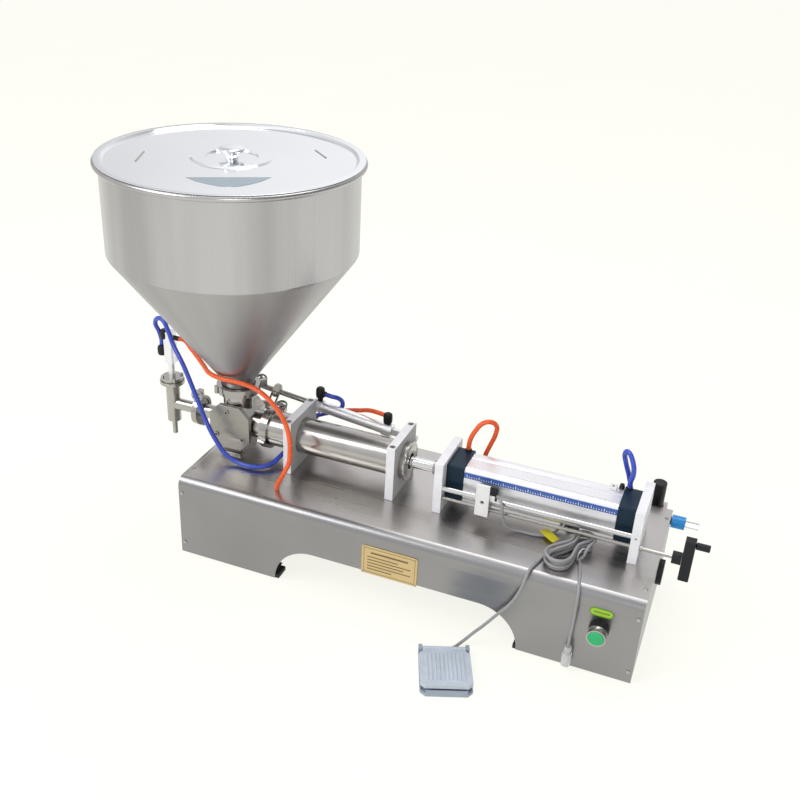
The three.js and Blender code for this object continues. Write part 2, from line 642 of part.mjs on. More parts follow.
function addAirCylinder(machine) {
  const { frontX, rearX } = barrelFittings();
  const front = airCapFront();
  const rear = airCapRear();
  const passage = rodX(front.left - overrun, front.right + overrun, axisY, axisZ, airRod.radius + fit);
  add(machine, 'air_front_cap', cut(airCapBody(front, frontX), passage), looks.navy);
  add(machine, 'air_rear_cap', airCapBody(rear, rearX), looks.navy);
  const [left, right] = [front.right + fit, rear.left - fit];
  const { half, groove } = barrel;
  const skin = plateX(rounded(half, barrel.corner, axisY, axisZ), left, right);
  const [cutLeft, cutRight] = [left - overrun, right + overrun];
  const grooves = barrel.grooves.flatMap((across) => [-half, half].map((rise) => {
    const [y, z] = [axisY + across, axisZ + rise];
    return box(cutLeft, cutRight, y - groove, y + groove, z - groove, z + groove);
  }));
  const bore = rodX(cutLeft, cutRight, axisY, axisZ, barrel.bore, sides.body);
  add(machine, 'air_barrel', cut(skin, bore, grooves), looks.alloy);
}

// Stroke setting: a guide rod, a lead screw with a crank, and the sensor carriage on both
function addStrokeSetting(machine) {
  const start = carrier.left + carrier.width - carrier.blind + fit;
  const guideEnd = rearCarrierLeft + carrier.blind - fit;
  add(machine, 'guide_rod', rodX(start, guideEnd, guideY, guideZ, guide.radius), looks.steel);
  const hubLeft = rearCarrierLeft + carrier.width + fit;
  const hubStart = cabinet.length + screw.reach;
  const hubEnd = hubStart + screw.hubWidth;
  const collar = rodX(hubLeft, hubLeft + screw.collar, guideY, screwZ, screw.collar, sides.pin);
  const leadScrew = join(
    rodX(start, hubEnd, guideY, screwZ, screw.radius, sides.pin),
    collar,
    rodX(hubStart, hubEnd, guideY, screwZ, screw.hub),
  );
  add(machine, 'lead_screw', leadScrew, looks.steel);
  const barLeft = hubEnd + fit;
  const barRight = barLeft + crank.thick;
  const half = crank.wide / 2;
  const [barLow, barHigh] = [screwZ - crank.below, screwZ + crank.above];
  const gripZ = barHigh - half - fit;
  const bar = box(barLeft, barRight, guideY - half, guideY + half, barLow, barHigh);
  const gripEnd = barRight + fit + crank.gripLength;
  const pin = rodX(barRight - overrun, gripEnd - crank.pin, guideY, gripZ, crank.pin, sides.pin);
  add(machine, 'crank_handle', join(bar, pin), looks.black);
  const grip = turned([
    [crank.pin + fit, 0], [crank.gripRadius, 0], [crank.gripRadius, crank.gripLength],
    [0, crank.gripLength], [0, crank.gripLength - crank.pin + fit],
    [crank.pin + fit, crank.gripLength - crank.pin + fit],
  ], sides.pin, 'x').translate([barRight + fit, guideY, gripZ]);
  add(machine, 'crank_grip', grip, looks.black);
  add(machine, 'sensor_carriage', sensorCarriage(), looks.steel);
}

function sensorCarriage() {
  const { left, plate: wide, plateThick, holeRadius } = sensor;
  const [plateLow, plateHigh] = [axisZ - sensor.drop, axisZ + sensor.rise];
  const right = left + wide;
  const blockFront = guideY - sensorBlock.depth / 2;
  const blockBack = guideY + sensorBlock.depth / 2;
  const front = blockFront - plateThick;
  const middle = (left + right) / 2;
  const blockStart = blockFront - overrun;
  const { rise, reedLeft, reedRight, reedLow, reedHigh, reedGap } = sensorBlock;
  const whole = join(
    box(left, right, front, blockFront, plateLow, plateHigh),
    box(left, right, blockStart, blockBack, plateLow, axisZ + rise),
    box(left - reedLeft, right + reedRight, blockStart, axisY - reedGap, axisZ - reedLow, axisZ + reedHigh),
  );
  return cut(
    whole,
    rodX(left - overrun, right + overrun, guideY, guideZ, guide.radius + fit),
    rodX(left - overrun, right + overrun, guideY, screwZ, screw.radius + fit, sides.pin),
    rodY(middle, front - overrun, blockFront, guideZ, holeRadius, sides.pin),
  );
}

// Ring clamp in its own frame: its axis is X, its nut with two open loops points along Z
function ringClamp(size, rimRadius, rimsWide, lipRadius) {
  const [half, groove] = [size.width / 2, rimsWide / 2 + fit];
  const { bolt, nut, nutLong, lug, lugHigh, hinge } = clampHardware;
  const { radius: loop, hole, thick, bridge, count } = clampLoop;
  const ring = turned([
    [lipRadius, -half], [size.radius - fit, -half], [size.radius, 0],
    [size.radius - fit, half], [lipRadius, half], [lipRadius, groove],
    [rimRadius + fit, groove], [rimRadius + fit, -groove], [lipRadius, -groove],
  ], sides.body, 'x');
  const lugTop = size.radius + lugHigh;
  const lugs = box(-half + fit, half - fit, -lug, lug, size.radius - lug / 2, lugTop);
  const hinges = rodX(-half + fit, half - fit, 0, -size.radius - overrun, hinge, sides.pin);
  const boltHeight = lugTop - lugHigh / 2;
  const nutEnd = -lug - nutLong;
  const stem = rodY(0, nutEnd, lug + bolt, boltHeight, bolt, sides.pin);
  const boss = rodY(0, nutEnd, -lug + overrun, boltHeight, nut, sides.pin);
  const loopEnd = nutEnd + thick;
  const wings = join(
    cut(
      rodY(0, nutEnd, loopEnd, boltHeight, loop, count),
      rodY(0, nutEnd - overrun, loopEnd + overrun, boltHeight, hole, count),
    ),
    box(-hole, hole, nutEnd, loopEnd, boltHeight - bridge, boltHeight + bridge),
  );
  const clamp = join(ring, lugs, hinges, stem, boss, wings);
  return new THREE.Mesh(surface(clamp), looks.polished);
}

// Rotary valve, in a frame whose Y axis is the valve's own
function addValve(machine) {
  const held = group(machine, valve.x, axisY, axisZ);
  add(held, 'valve_body', valveBody(), looks.polished);
  add(held, 'valve_cover', valveCover(), looks.polished);
  const start = THREE.MathUtils.degToRad(rotor.rest - rotor.sweep / 2);
  const sweep = THREE.MathUtils.degToRad(rotor.sweep);
  const blade = outlineOf([[0, 0], ...circlePoints(rotor.blade, sides.pin, start, sweep)]);
  const [front, back] = [-valve.front + 2 * fit, valve.chamberBack - 2 * fit];
  const turning = join(
    plateY(blade, front, back),
    rodY(0, front, back, 0, rotor.hub),
    rodY(0, back - overrun, lever.front + lever.thick, 0, rotor.stem),
  );
  add(held, 'valve_rotor', turning, looks.steel);
  add(held, 'valve_lever', valveLever(), looks.steel);
}

function valveBody() {
  const { wide, high, chamfer, front, back, chamber, chamberBack } = valve;
  const necks = valveNecks();
  const [supportLow, supportHigh] = [onDeck - axisZ, -high / 2];
  const { half: footHalf, front: footFront, back: footBack } = valveFoot;
  const whole = join(
    plateY(chamfered(wide, high, chamfer), -front, back),
    box(-footHalf, footHalf, -footBack, footBack, supportLow, supportHigh),
    box(-footHalf, footHalf, -footFront, footBack, supportLow, supportLow + valveFoot.slab),
    rodZ(0, 0, 0, necks.top, valvePort.top, sides.body),
    rodZ(0, 0, necks.top - tube.rimWidth, necks.top, tube.rim, sides.body),
    rodX(0, necks.right, 0, 0, valvePort.right, sides.body),
    rodX(necks.right - tube.rimWidth, necks.right, 0, 0, tube.rim, sides.body),
    rodX(0, -necks.left, 0, 0, valvePort.left),
    rodX(smallRim.width - necks.left, -necks.left, 0, 0, smallRim.radius),
  );
  return cut(
    whole,
    rodY(0, -front - overrun, chamberBack, 0, chamber, sides.body),
    rodY(0, chamberBack - overrun, back + overrun, 0, rotor.stem + fit),
    rodZ(0, 0, 0, necks.top + overrun, valvePort.topBore),
    rodX(0, necks.right + overrun, 0, 0, valvePort.rightBore),
    rodX(0, -necks.left - overrun, 0, 0, valvePort.leftBore),
  );
}

// Where the valve's three necks end, from its own axis
function valveNecks() {
  return {
    top: valveRise,
    right: tube.left - fit - valve.x,
    left: valve.x - nozzle.x - branch.reach - fit,
  };
}

function valveCover() {
  const [back, front] = [-valve.front - fit, -valve.front - cover.thick];
  const lid = plateY(chamfered(cover.wide, cover.high, cover.chamfer), front, back);
  const heads = coverScrewAngles.map((angle) => {
    const [x, z] = polar(cover.pitch, angle);
    return rodY(x, front - cover.screwHeight, front + overrun, z, cover.screwRadius, sides.pin);
  });
  return join(lid, heads);
}

// A cranked lever: a slotted bar beside the hub, held by a web, all turned about the valve's axis
function valveLever() {
  const { front, thick, hub, offset, elbow, tip, half } = lever;
  const back = front + thick;
  const web = outlineOf([[-hub, 0], [elbow - half, -offset], [elbow + half, -offset], [hub, 0]]);
  const arm = join(
    box(elbow, tip, front, back, -offset - half, half - offset),
    rodY(elbow, front, back, -offset, half),
    rodY(tip, front, back, -offset, half),
    plateY(web, front, back),
    rodY(0, front, back, 0, hub),
  );
  const [y0, y1] = [front - overrun, back + overrun];
  const slot = join(
    box(leverSlot.near, leverSlot.far, y0, y1, -offset - leverSlot.half, leverSlot.half - offset),
    rodY(leverSlot.near, y0, y1, -offset, leverSlot.half),
    rodY(leverSlot.far, y0, y1, -offset, leverSlot.half),
  );
  const bored = cut(arm, slot, rodY(0, y0, y1, 0, rotor.stem + fit));
  return bored.rotate([0, -leverAngle, 0]);
}

// Slim air cylinder, in a tilted frame: X runs along its rod from the lever's pin to its tail
function leverPin() {
  const [along, up] = polar(leverSlot.rest, leverAngle);
  const [down, across] = polar(lever.offset, leverAngle);
  return point(valve.x + along + across, actuatorY, axisZ + up - down);
}

function actuatorDirection() {
  const tilt = THREE.MathUtils.degToRad(actuator.tilt);
  return point(Math.cos(tilt), 0, -Math.sin(tilt));
}

function actuatorPivot() {
  const pin = leverPin();
  const run = bracket.lefts[1] + bracket.width / 2 - pin.x;
  return pin.add(actuatorDirection().multiplyScalar(run / actuatorDirection().x));
}

function addActuator(machine) {
  const pin = leverPin();
  const held = group(machine, pin.x, pin.y, pin.z);
  held.rotation.y = THREE.MathUtils.degToRad(actuator.tilt);
  const pivotAt = actuatorPivot().distanceTo(pin);
  add(held, 'actuator_cylinder', actuatorCylinder(pivotAt), looks.alloy);
  add(held, 'actuator_rod', actuatorRodBody(), looks.steel);
}

function actuatorCylinder(pivotAt) {
  const { capNear, capFar, radius, capRadius, capLong } = actuator;
  const { thick, half, pin } = actuatorTail;
  const wide = slimFitting.radius;
  const fittings = slimOutlets().map(({ foot, mouth }) => {
    const [x0, x1] = [Math.min(foot, mouth), Math.max(foot, mouth)];
    const stem = rodZ(foot, 0, radius / 2, slimOutletHeight(), wide, sides.pin);
    return join(stem, rodX(x0, x1, 0, slimOutletHeight() - wide, wide, sides.pin));
  });
  const body = join(
    rodX(capNear, capFar, 0, 0, radius),
    rodX(capNear, capNear + capLong, 0, 0, capRadius),
    rodX(capFar - capLong, capFar, 0, 0, capRadius),
    box(capFar - overrun, pivotAt, -thick / 2, thick / 2, -half, half),
    rodY(pivotAt, -thick / 2, thick / 2, 0, half),
    fittings,
  );
  const boreNear = capNear + capLong;
  return cut(
    body,
    rodX(capNear - overrun, boreNear + overrun, 0, 0, actuatorRod.radius + fit),
    rodX(boreNear, capFar - capLong, 0, 0, actuatorPiston.boreRadius),
    rodY(pivotAt, -thick, thick, 0, pin + fit, sides.pin),
  );
}

// The rod passes behind the lever; its pin goes forward through the slot and ends in a head
function actuatorRodBody() {
  const { radius, reach, gap, pin, head, headThick } = actuatorRod;
  const pistonFront = actuatorPiston.rest - actuatorPiston.length;
  const headBack = -radius - gap - lever.thick - gap;
  return join(
    rodX(-reach, actuatorPiston.rest, 0, 0, radius, sides.bar),
    rodY(0, headBack - headThick, 0, 0, pin, sides.pin),
    rodY(0, headBack - headThick, headBack, 0, head, sides.pin),
    rodX(pistonFront, actuatorPiston.rest, 0, 0, actuatorPiston.radius),
  );
}

// Hopper and lid, turned about their own upright axis
function addHopper(machine) {
  const held = group(machine, valve.x, axisY, 0);
  add(held, 'hopper', hopperBody(), looks.brushed);
  add(held, 'hopper_lid', hopperLid(), looks.polished);
  const clamp = ringClamp(hopperClamp, tube.rim, 2 * tube.rimWidth + fit, hopperClamp.lip);
  clamp.rotation.set(0, -Math.PI / 2, THREE.MathUtils.degToRad(hopperClamp.turn));
  clamp.rotation.order = 'ZYX';
  clamp.position.set(0, 0, mouth - fit / 2);
  clamp.name = 'hopper_clamp';
  held.add(clamp);
}

function hopperBody() {
  const { radius, wall } = hopper;
  const { radius: neck, bore: neckBore } = hopperNeck;
  const slope = (radius - neck) / (coneTop - coneLow);
  const lean = wall * (Math.sqrt(1 + slope * slope) - 1) / slope;
  const middle = radius + rim.radius;
  const halfSweep = THREE.MathUtils.degToRad(rim.halfSweep);
  const bead = circlePoints(rim.radius, rim.points, -halfSweep, 2 * halfSweep);
  const hem = rim.radius * Math.sin(halfSweep);
  return turned([
    [neckBore, mouth], [tube.rim, mouth], [tube.rim, mouth + tube.rimWidth], [neck, mouth + tube.rimWidth],
    [neck, coneLow], [radius, coneTop], [radius, hopperTop - hem],
    ...bead.map(([a, b]) => [middle + a, hopperTop + b]),
    [radius - wall, hopperTop + hem], [radius - wall, coneTop + lean], [neckBore, coneLow + lean],
  ], sides.hopper);
}

function hopperLid() {
  const { edge, sheet, seat, sink, ring, ringRise, dish } = lid;
  const low = hopperTop + rim.radius + fit;
  const floor = low - sink;
  const raised = floor + ringRise;
  const { stem, radius, thick, rise, round } = lidKnob;
  const knobLow = floor + sheet + rise;
  const knobTop = knobLow + thick;
  const under = [[0, floor], [dish, floor], [dish, raised], [ring, raised], [ring + sheet, floor],
    [seat - sink, floor], [seat, low], [edge, low]];
  const over = [[edge, low + sheet], [seat - sheet / 2, low + sheet],
    [seat - sink - sheet / 2, floor + sheet],
    [ring + 2 * sheet, floor + sheet], [ring, raised + sheet], [dish - sheet, raised + sheet],
    [dish - sheet, floor + sheet]];
  const knob = [[stem, floor + sheet], [stem, knobLow], [radius, knobLow], [radius, knobTop - round],
    [radius - round, knobTop], [0, knobTop]];
  return turned([...under, ...over, ...knob], sides.hopper);
}

// Shut-off nozzle, turned about its own upright axis
function addNozzle(machine) {
  const held = group(machine, nozzle.x, axisY, 0);
  add(held, 'nozzle_body', nozzleBody(), looks.steel);
  add(held, 'nozzle_cylinder', nozzleCylinderBody(), looks.alloy);
  const { rod: rodRadius, head, headLong, piston: disc, pistonRise, pistonLong } = plunger;
  const headLow = nozzleLow + nozzle.bore / 2 + fit;
  const headHigh = headLow + headLong;
  const pistonLow = cylinderLow + pistonRise;
  const pistonHigh = pistonLow + pistonLong;
  const moving = join(
    rodZ(0, 0, headLow, pistonHigh, rodRadius, sides.pin),
    rodZ(0, 0, headLow, headHigh, head, sides.bar),
    rodZ(0, 0, pistonLow, pistonHigh, disc, sides.bar),
  );
  add(held, 'shutoff_plunger', moving, looks.steel);
  const clamp = ringClamp(outletClamp, smallRim.radius, 2 * smallRim.width + fit, outletClamp.lip);
  clamp.position.set(branch.reach + fit / 2, 0, axisZ);
  clamp.name = 'outlet_clamp';
  held.add(clamp);
}

function nozzleBody() {
  const { radius, bore, flange, flangeThick } = nozzle;
  const [low, top] = [nozzleLow, nozzleTop];
  const tipLow = low - nozzleTip.long;
  const { reach, flareLong, flare } = branch;
  const rimStart = reach - smallRim.width;
  const [flareStart, flareEnd] = [point(reach - flareLong, 0, axisZ), point(rimStart, 0, axisZ)];
  const whole = join(
    rodZ(0, 0, low, top + overrun, radius),
    rodZ(0, 0, tipLow, low + overrun, nozzleTip.radius, sides.pin),
    rodZ(0, 0, top, top + flangeThick, flange),
    rodX(0, flareStart.x + overrun, 0, axisZ, branch.radius),
    rod(flareStart, flareEnd, branch.radius, sides.bar, flare),
    rodX(rimStart, reach, 0, axisZ, smallRim.radius),
  );
  return cut(
    whole,
    rodZ(0, 0, low + bore / 2, top, bore),
    rodZ(0, 0, tipLow - overrun, low + bore, nozzleTip.bore, sides.pin),
    rodZ(0, 0, top - overrun, top + flangeThick + overrun, plunger.rod + fit, sides.pin),
    rodX(0, reach + overrun, 0, axisZ, branch.bore),
  );
}

// The levels of the nozzle cylinder's fittings
function nozzleOutlets() {
  return { upper: cylinderTop - nozzleFitting.down, lower: cylinderLow + nozzleFitting.up };
}

function nozzleCylinderBody() {
  const { half, neck, chamfer, bore, roof } = nozzleCylinder;
  const { radius, long, stub, elbow } = nozzleFitting;
  const [low, high] = [cylinderLow, cylinderTop];
  const { upper, lower } = nozzleOutlets();
  const seat = nozzleTop + nozzle.flangeThick + fit;
  const heads = [45, 135, 225, 315].map((angle) => {
    const [x, y] = polar(flangeScrew.pitch, angle);
    return rodZ(x, y, seat, seat + flangeScrew.height, flangeScrew.radius, sides.pin);
  });
  const whole = join(
    plateZ(chamfered(half, half, chamfer), low, high),
    rodZ(0, 0, seat, low + overrun, neck),
    rodZ(0, 0, seat, seat + nozzleFoot.high, nozzleFoot.radius),
    heads,
    rodX(-half - stub, -half + overrun, 0, upper, radius, sides.pin),
    rodX(-half - elbow, -half + overrun, 0, lower, radius, sides.pin),
    rodZ(-half - elbow, 0, lower - radius, lower + elbow, radius, sides.pin),
    rodX(half - overrun, half + long, 0, upper, radius, sides.pin),
  );
  return cut(
    whole,
    rodZ(0, 0, low + neck, high - roof, bore),
    rodZ(0, 0, seat - overrun, low + neck + overrun, plunger.rod + fit, sides.pin),
  );
}

// Foot switch: a low tray with side ears and a ribbed pedal hinged at its far end
function addFootSwitch(machine) {
  const held = group(machine, pedalBase.x, pedalBase.y, 0);
  held.rotation.z = THREE.MathUtils.degToRad(pedalBase.turn);
  const { wide, long, high, wall, gap } = pedalBase;
  const [x, y] = [wide / 2, long / 2];
  const hingeY = y - pedal.inset - pedal.hinge;
  const hingeZ = high + pedal.lift + pedal.hinge;
  const inner = x - pedalEar.wide;
  const earFront = hingeY - pedalEar.rise;
  const earTop = hingeZ + pedalEar.rise;
  const pocketHalf = (hingeY - gap + y - wall) / 2;
  const pocketMiddle = wall - y + pocketHalf;
  const { corner, rise } = pedalGuard;
  const base = cut(
    join(
      plateZ(chamfered(x, y, corner), 0, high),
      box(corner - x, x - corner, -y, wall - y, high - overrun, high + rise),
      box(inner, x, earFront, y, high - overrun, earTop),
      box(-x, -inner, earFront, y, high - overrun, earTop),
      rodX(-inner - overrun, inner + overrun, hingeY, hingeZ, pedalHinge.pin, sides.pin),
      cableRelief(y),
    ),
    plateZ(chamfered(x - wall, pocketHalf, corner, 0, pocketMiddle), wall, high + overrun),
  );
  add(held, 'foot_switch_base', base, looks.grey);
  add(held, 'foot_pedal', pedalBody(x, y, inner, hingeY, hingeZ), looks.pedal);
}

function cableRelief(back) {
  const [a, b] = polar(relief.long, relief.turn);
  const start = point(relief.aside, back - relief.sunk, relief.level);
  return rod(start, point(start.x + a, start.y + b, relief.level), relief.radius, sides.pin);
}

function pedalBody(x, y, inner, hingeY, hingeZ) {
  const { thick, corner, tilt, hinge, start } = pedal;
  const end = hingeY + y - pedalBase.wall - 2 * fit;
  const halfLong = (end - start) / 2;
  const top = thick - hinge;
  const tread = plateZ(chamfered(x - fit, halfLong, corner, 0, -start - halfLong), -hinge, top);
  const hingeBarrel = rodX(-inner + fit, inner - fit, 0, 0, pedalHinge.barrel);
  const tongue = box(-inner + fit, inner - fit, -start - hinge, 0, -hinge, hinge);
  const ribStart = pedalRib.wide / 2 + pedalRib.side - x;
  const pitch = (-2 * ribStart) / (pedalRib.count - 1);
  const bars = Array.from({ length: pedalRib.count }, (_, i) => {
    const left = ribStart + pitch * i - pedalRib.wide / 2;
    const [y0, y1] = [pedalRib.front - end, -start - pedalRib.end];
    return box(left, left + pedalRib.wide, y0, y1, top - overrun, top + pedalRib.high);
  });
  const whole = cut(
    join(tread, hingeBarrel, tongue, bars),
    rodX(-x, x, 0, 0, pedalHinge.pin + fit, sides.pin),
  );
  return whole.rotate([-tilt, 0, 0]).translate([0, hingeY, hingeZ]);
}

// Hoses and cables: points chosen by hand along each route, in the cabinet's own frame
function hoseRoutes() {
  const elbowX = nozzle.x - nozzleCylinder.half - nozzleFitting.elbow;
  const { upper: sideLevel, lower } = nozzleOutlets();
  const elbowTop = lower + nozzleFitting.elbow + fit;
  const orangeSide = nozzle.x + nozzleCylinder.half + nozzleFitting.long + fit;
  const [front, rear] = slimPorts();
  const { frontX, rearX, top } = barrelFittings();
  const portTop = top + fit;
  const portY = axisY + airFitting.back;
  return {
    hose_blue_nozzle: [
      [elbowX, axisY, elbowTop], [elbowX, axisY, elbowTop + hoseStart],
      [-113, 138, 340], [-116, 134, 354], [-109, 130, 367],
      [-95, 125, 369], [-81, 118, 356], [-67, 110, 336], [-37, 92, 311], [-13, 86, 265], [9, 82, 218],
      [28, 80, 187], [46, 79, 166], [67, 77.6, 157], [95, 76.4, 156], [114, 83, 157], [126, 97, 159],
      [131, 112, 164], [134, 127, 167], [136, 141, 163], [136, 148, 155], [136, 148, onDeck],
    ],
    hose_orange_nozzle: [
      [orangeSide, axisY, sideLevel], [orangeSide + hoseStart, axisY, sideLevel],
      [-46, 133, 322], [-15, 118, 306], [8, 100, 303],
      [36, 92, 303], [72, 92, 303], [102, 86, 302], [122, 82, 296], [142, 76, 285], [159, 70, 272],
      [170, 65, 258], [179, 58, 237], [182, 53, 221], [182, 49, 202],
      [175, 45, 183], [166, 43, 163], [163, 43, 155], [163, 43, onDeck],
    ],
    hose_blue_actuator: [
      front.start, front.next, [196, 213.5, 245], [200, 220.5, 234], [196, 223, 222], [182, 223, 211],
      [161, 220.5, 202], [140, 214, 192], [128, 209, 178], [125, 208, 163], [125, 208, onDeck],
    ],
    hose_orange_actuator: [
      rear.start, rear.next, [257, 210.5, 238], [233, 221.5, 227], [210, 230.5, 217], [187, 234.5, 208],
      [163, 235, 201], [147, 232, 190], [141, 226, 176], [140, 223, 163], [140, 223, onDeck],
    ],
    hose_orange_barrel: [
      [frontX, portY, portTop], [frontX, portY, portTop + hoseStart],
      [452, 166, 258], [458, 170, 272], [466, 175, 283], [477, 181, 286],
      [486, 188, 278], [485, 193, 258], [478, 195, 236], [471, 196, 214], [468, 196, 190], [468, 196, 164],
      [468, 196, onDeck],
    ],
    hose_blue_barrel: [
      [rearX, portY, portTop], [rearX, portY, portTop + hoseStart],
      [715, 166, 262], [710, 170, 281], [701, 177, 291], [695, 186, 283], [699, 191, 262],
      [706, 195, 240], [712, 197, 216], [713, 197, 190], [713, 197, 164], [713, 197, onDeck],
    ],
  };
}

// The slim cylinder's two elbow fittings, along its own frame, and where their hoses start
function slimOutletHeight() {
  return actuator.capRadius + slimFitting.rise;
}

function slimOutlets() {
  const { inset, elbow } = slimFitting;
  const near = actuator.capNear + inset;
  const far = actuator.capFar - inset;
  return [{ foot: near, mouth: near + elbow, way: 1 }, { foot: far, mouth: far - elbow, way: -1 }];
}

function slimPorts() {
  const along = actuatorDirection();
  const up = point(-along.z, 0, along.x);
  const height = slimOutletHeight() - slimFitting.radius;
  return slimOutlets().map(({ mouth, way }) => {
    const place = (distance) => leverPin()
      .add(along.clone().multiplyScalar(mouth + way * distance))
      .add(up.clone().multiplyScalar(height));
    return { start: place(fit).toArray(), next: place(fit + hoseStart).toArray() };
  });
}

const cableLevel = onDeck + cableDiameter / 2 + fit / 2;
const grommetTop = onDeck + grommet.thick + fit;
const hankWayIn = [[-28, 24, 0], [-17, 22.5, 0]];
const hankWayOut = [[27, -17, 15], [18, -18, 9.5], [11.5, -18.5, 3]];
const cableRoutes = {
  sensor_cable: [
    [520.9, 94, 206.5], [524.5, 94, 206.5], [530, 89.5, 204], [533.5, 86, 197], [535, 85.3, 187],
    [538.5, 86, 173],
    [547, 90, 158.5], [565, 97, cableLevel], [582, 97, cableLevel], [600, 101, cableLevel],
    [614, 114, cableLevel], [621, 130, 158], [627, 141, 166], [633, 145, 163], [633, 145, grommetTop],
  ],
  foot_cable: [
    [612, 39, cableLevel], [608, 24, cableLevel],
    [605, 10, 153], [603, 0, 149], [601, -6, 138], [597, -8, 122], [585, -8, 93], [566, -9, 65],
    [547, -10, 37], [534, -13, 21], [524.5, -19.5, 10.5], [516.4, -29.8, 4.8], [511.75, -38.55, 4],
  ],
  plug_cable: [
    [668, 66, cableLevel], [671, 52, cableLevel], [677, 24, cableLevel], [679, 12, 153.5],
    [681, 2, 150], [682.5, -5, 140], [683, -8.5, 120], [682.5, -9, 90], [681, -9, 62], [681, -9, 46],
  ],
};

function sweep(points, diameter, count) {
  const path = new THREE.CatmullRomCurve3(points.map(([x, y, z]) => point(x, y, z)), false, 'centripetal');
  const steps = Math.ceil(path.getLength() / (sweepStep * diameter));
  const section = outlineOf(circlePoints(diameter / 2, count));
  return solid(new THREE.ExtrudeGeometry(section, { steps, extrudePath: path, bevelEnabled: false }));
}

// A hank of cable: loops piled in layers, each drawn in at the waist, all of one unbroken tube
function hankHalfWidth(along) {
  const { wideAt, waistAt, farAt, wide, waist, far } = hank;
  const ease = (share) => (1 - Math.cos(Math.PI * THREE.MathUtils.clamp(share, 0, 1))) / 2;
  const { lerp } = THREE.MathUtils;
  if (along < waistAt) return lerp(wide, waist, ease((along - wideAt) / (waistAt - wideAt)));
  return lerp(waist, far, ease((along - waistAt) / (farAt - waistAt)));
}

// The place on a loop at one of its stations: along a run, round the far end, back, round the wide end
function hankStation(index, offset) {
  const { perLoop, perRun } = hankSteps;
  const { wideAt, farAt } = hank;
  const part = Math.floor((index % perLoop) / perRun);
  const share = ((index % perLoop) % perRun) / perRun;
  const length = farAt - wideAt;
  const [going, back] = [wideAt + length * share, farAt - length * share];
  if (part === 0) return [going, hankHalfWidth(going) + offset];
  if (part === 2) return [back, -hankHalfWidth(back) - offset];
  const farEnd = part === 1;
  const middle = farEnd ? farAt : wideAt;
  const radius = offset + (farEnd ? hank.far : hank.wide);
  const start = farEnd ? quarterTurn : -quarterTurn;
  const [a, b] = polar(radius, start - 2 * quarterTurn * share);
  return [middle + a, b];
}

function hankPlace([along, across], height) {
  const turn = THREE.MathUtils.degToRad(hank.turn);
  const x = hank.x + along * Math.cos(turn) - across * Math.sin(turn);
  const y = hank.y + along * Math.sin(turn) + across * Math.cos(turn);
  return point(x, y, cableLevel + height);
}

function hankLoops() {
  const { pitch, rise, layers } = hankPile;
  const { perLoop, start, extra, climb } = hankSteps;
  const places = [];
  for (let step = 0; step <= layers * perLoop + extra; step += 1) {
    const loops = step / perLoop;
    const last = layers - 1;
    const offset = pitch * (loops > last ? loops - last : Math.abs((loops % 2) - 1));
    let height = 0;
    for (let layer = 1; layer < layers; layer += 1) {
      height += THREE.MathUtils.clamp((step - layer * perLoop) / climb + 1 / 2, 0, 1);
    }
    places.push(hankPlace(hankStation(start + step, offset), rise * height));
  }
  return places;
}

// The end of a route's cable, met face to face and kept straight for one diameter
function hankEnd([first, second]) {
  const [from, to] = [point(...first), point(...second)];
  const away = from.clone().sub(to).normalize();
  return [fit, fit + cableDiameter].map((run) => from.clone().add(away.clone().multiplyScalar(run)));
}

function hankCentres() {
  const way = (places) => places.map(([along, across, height]) => hankPlace([along, across], height));
  return [
    ...hankEnd(cableRoutes.foot_cable), ...way(hankWayIn), ...hankLoops(),
    ...way(hankWayOut), ...hankEnd(cableRoutes.plug_cable).reverse(),
  ];
}

// A tube with a ring of points at each centre, for a route that never runs upright
function ringedTube(centres, radius, count) {
  const positions = [];
  const corners = [];
  centres.forEach((centre, i) => {
    const [before, after] = [centres[Math.max(i - 1, 0)], centres[Math.min(i + 1, centres.length - 1)]];
    const ahead = after.clone().sub(before).normalize();
    const across = ahead.clone().cross(axes.z).normalize();
    const up = across.clone().cross(ahead);
    for (const [a, b] of circlePoints(radius, count)) {
      const reach = across.clone().multiplyScalar(a).add(up.clone().multiplyScalar(b));
      positions.push(...reach.add(centre).toArray());
    }
  });
  const ringStart = (i) => i * count;
  for (let i = 0; i + 1 < centres.length; i += 1) {
    for (let j = 0; j < count; j += 1) {
      const k = (j + 1) % count;
      const [a, b] = [ringStart(i), ringStart(i + 1)];
      corners.push(a + j, a + k, b + k, a + j, b + k, b + j);
    }
  }
  const last = ringStart(centres.length - 1);
  for (let j = 1; j + 1 < count; j += 1) {
    corners.push(0, j + 1, j, last, last + j, last + j + 1);
  }
  const geometry = new THREE.BufferGeometry();
  geometry.setAttribute('position', new THREE.Float32BufferAttribute(positions, 3));
  geometry.setIndex(corners);
  return geometry;
}

// The least gap of a tube to itself, on points along its middle line
function leastGap(centres, diameter) {
  const path = new THREE.CatmullRomCurve3(centres, false, 'centripetal');
  const count = gapSteps * centres.length;
  const places = path.getSpacedPoints(count);
  const apart = Math.ceil((gapReach * diameter * count) / path.getLength());
  let least = Infinity;
  for (let i = 0; i < places.length; i += 1) {
    for (let j = i + apart; j < places.length; j += 1) {
      least = Math.min(least, places[i].distanceTo(places[j]));
    }
  }
  return least - diameter;
}

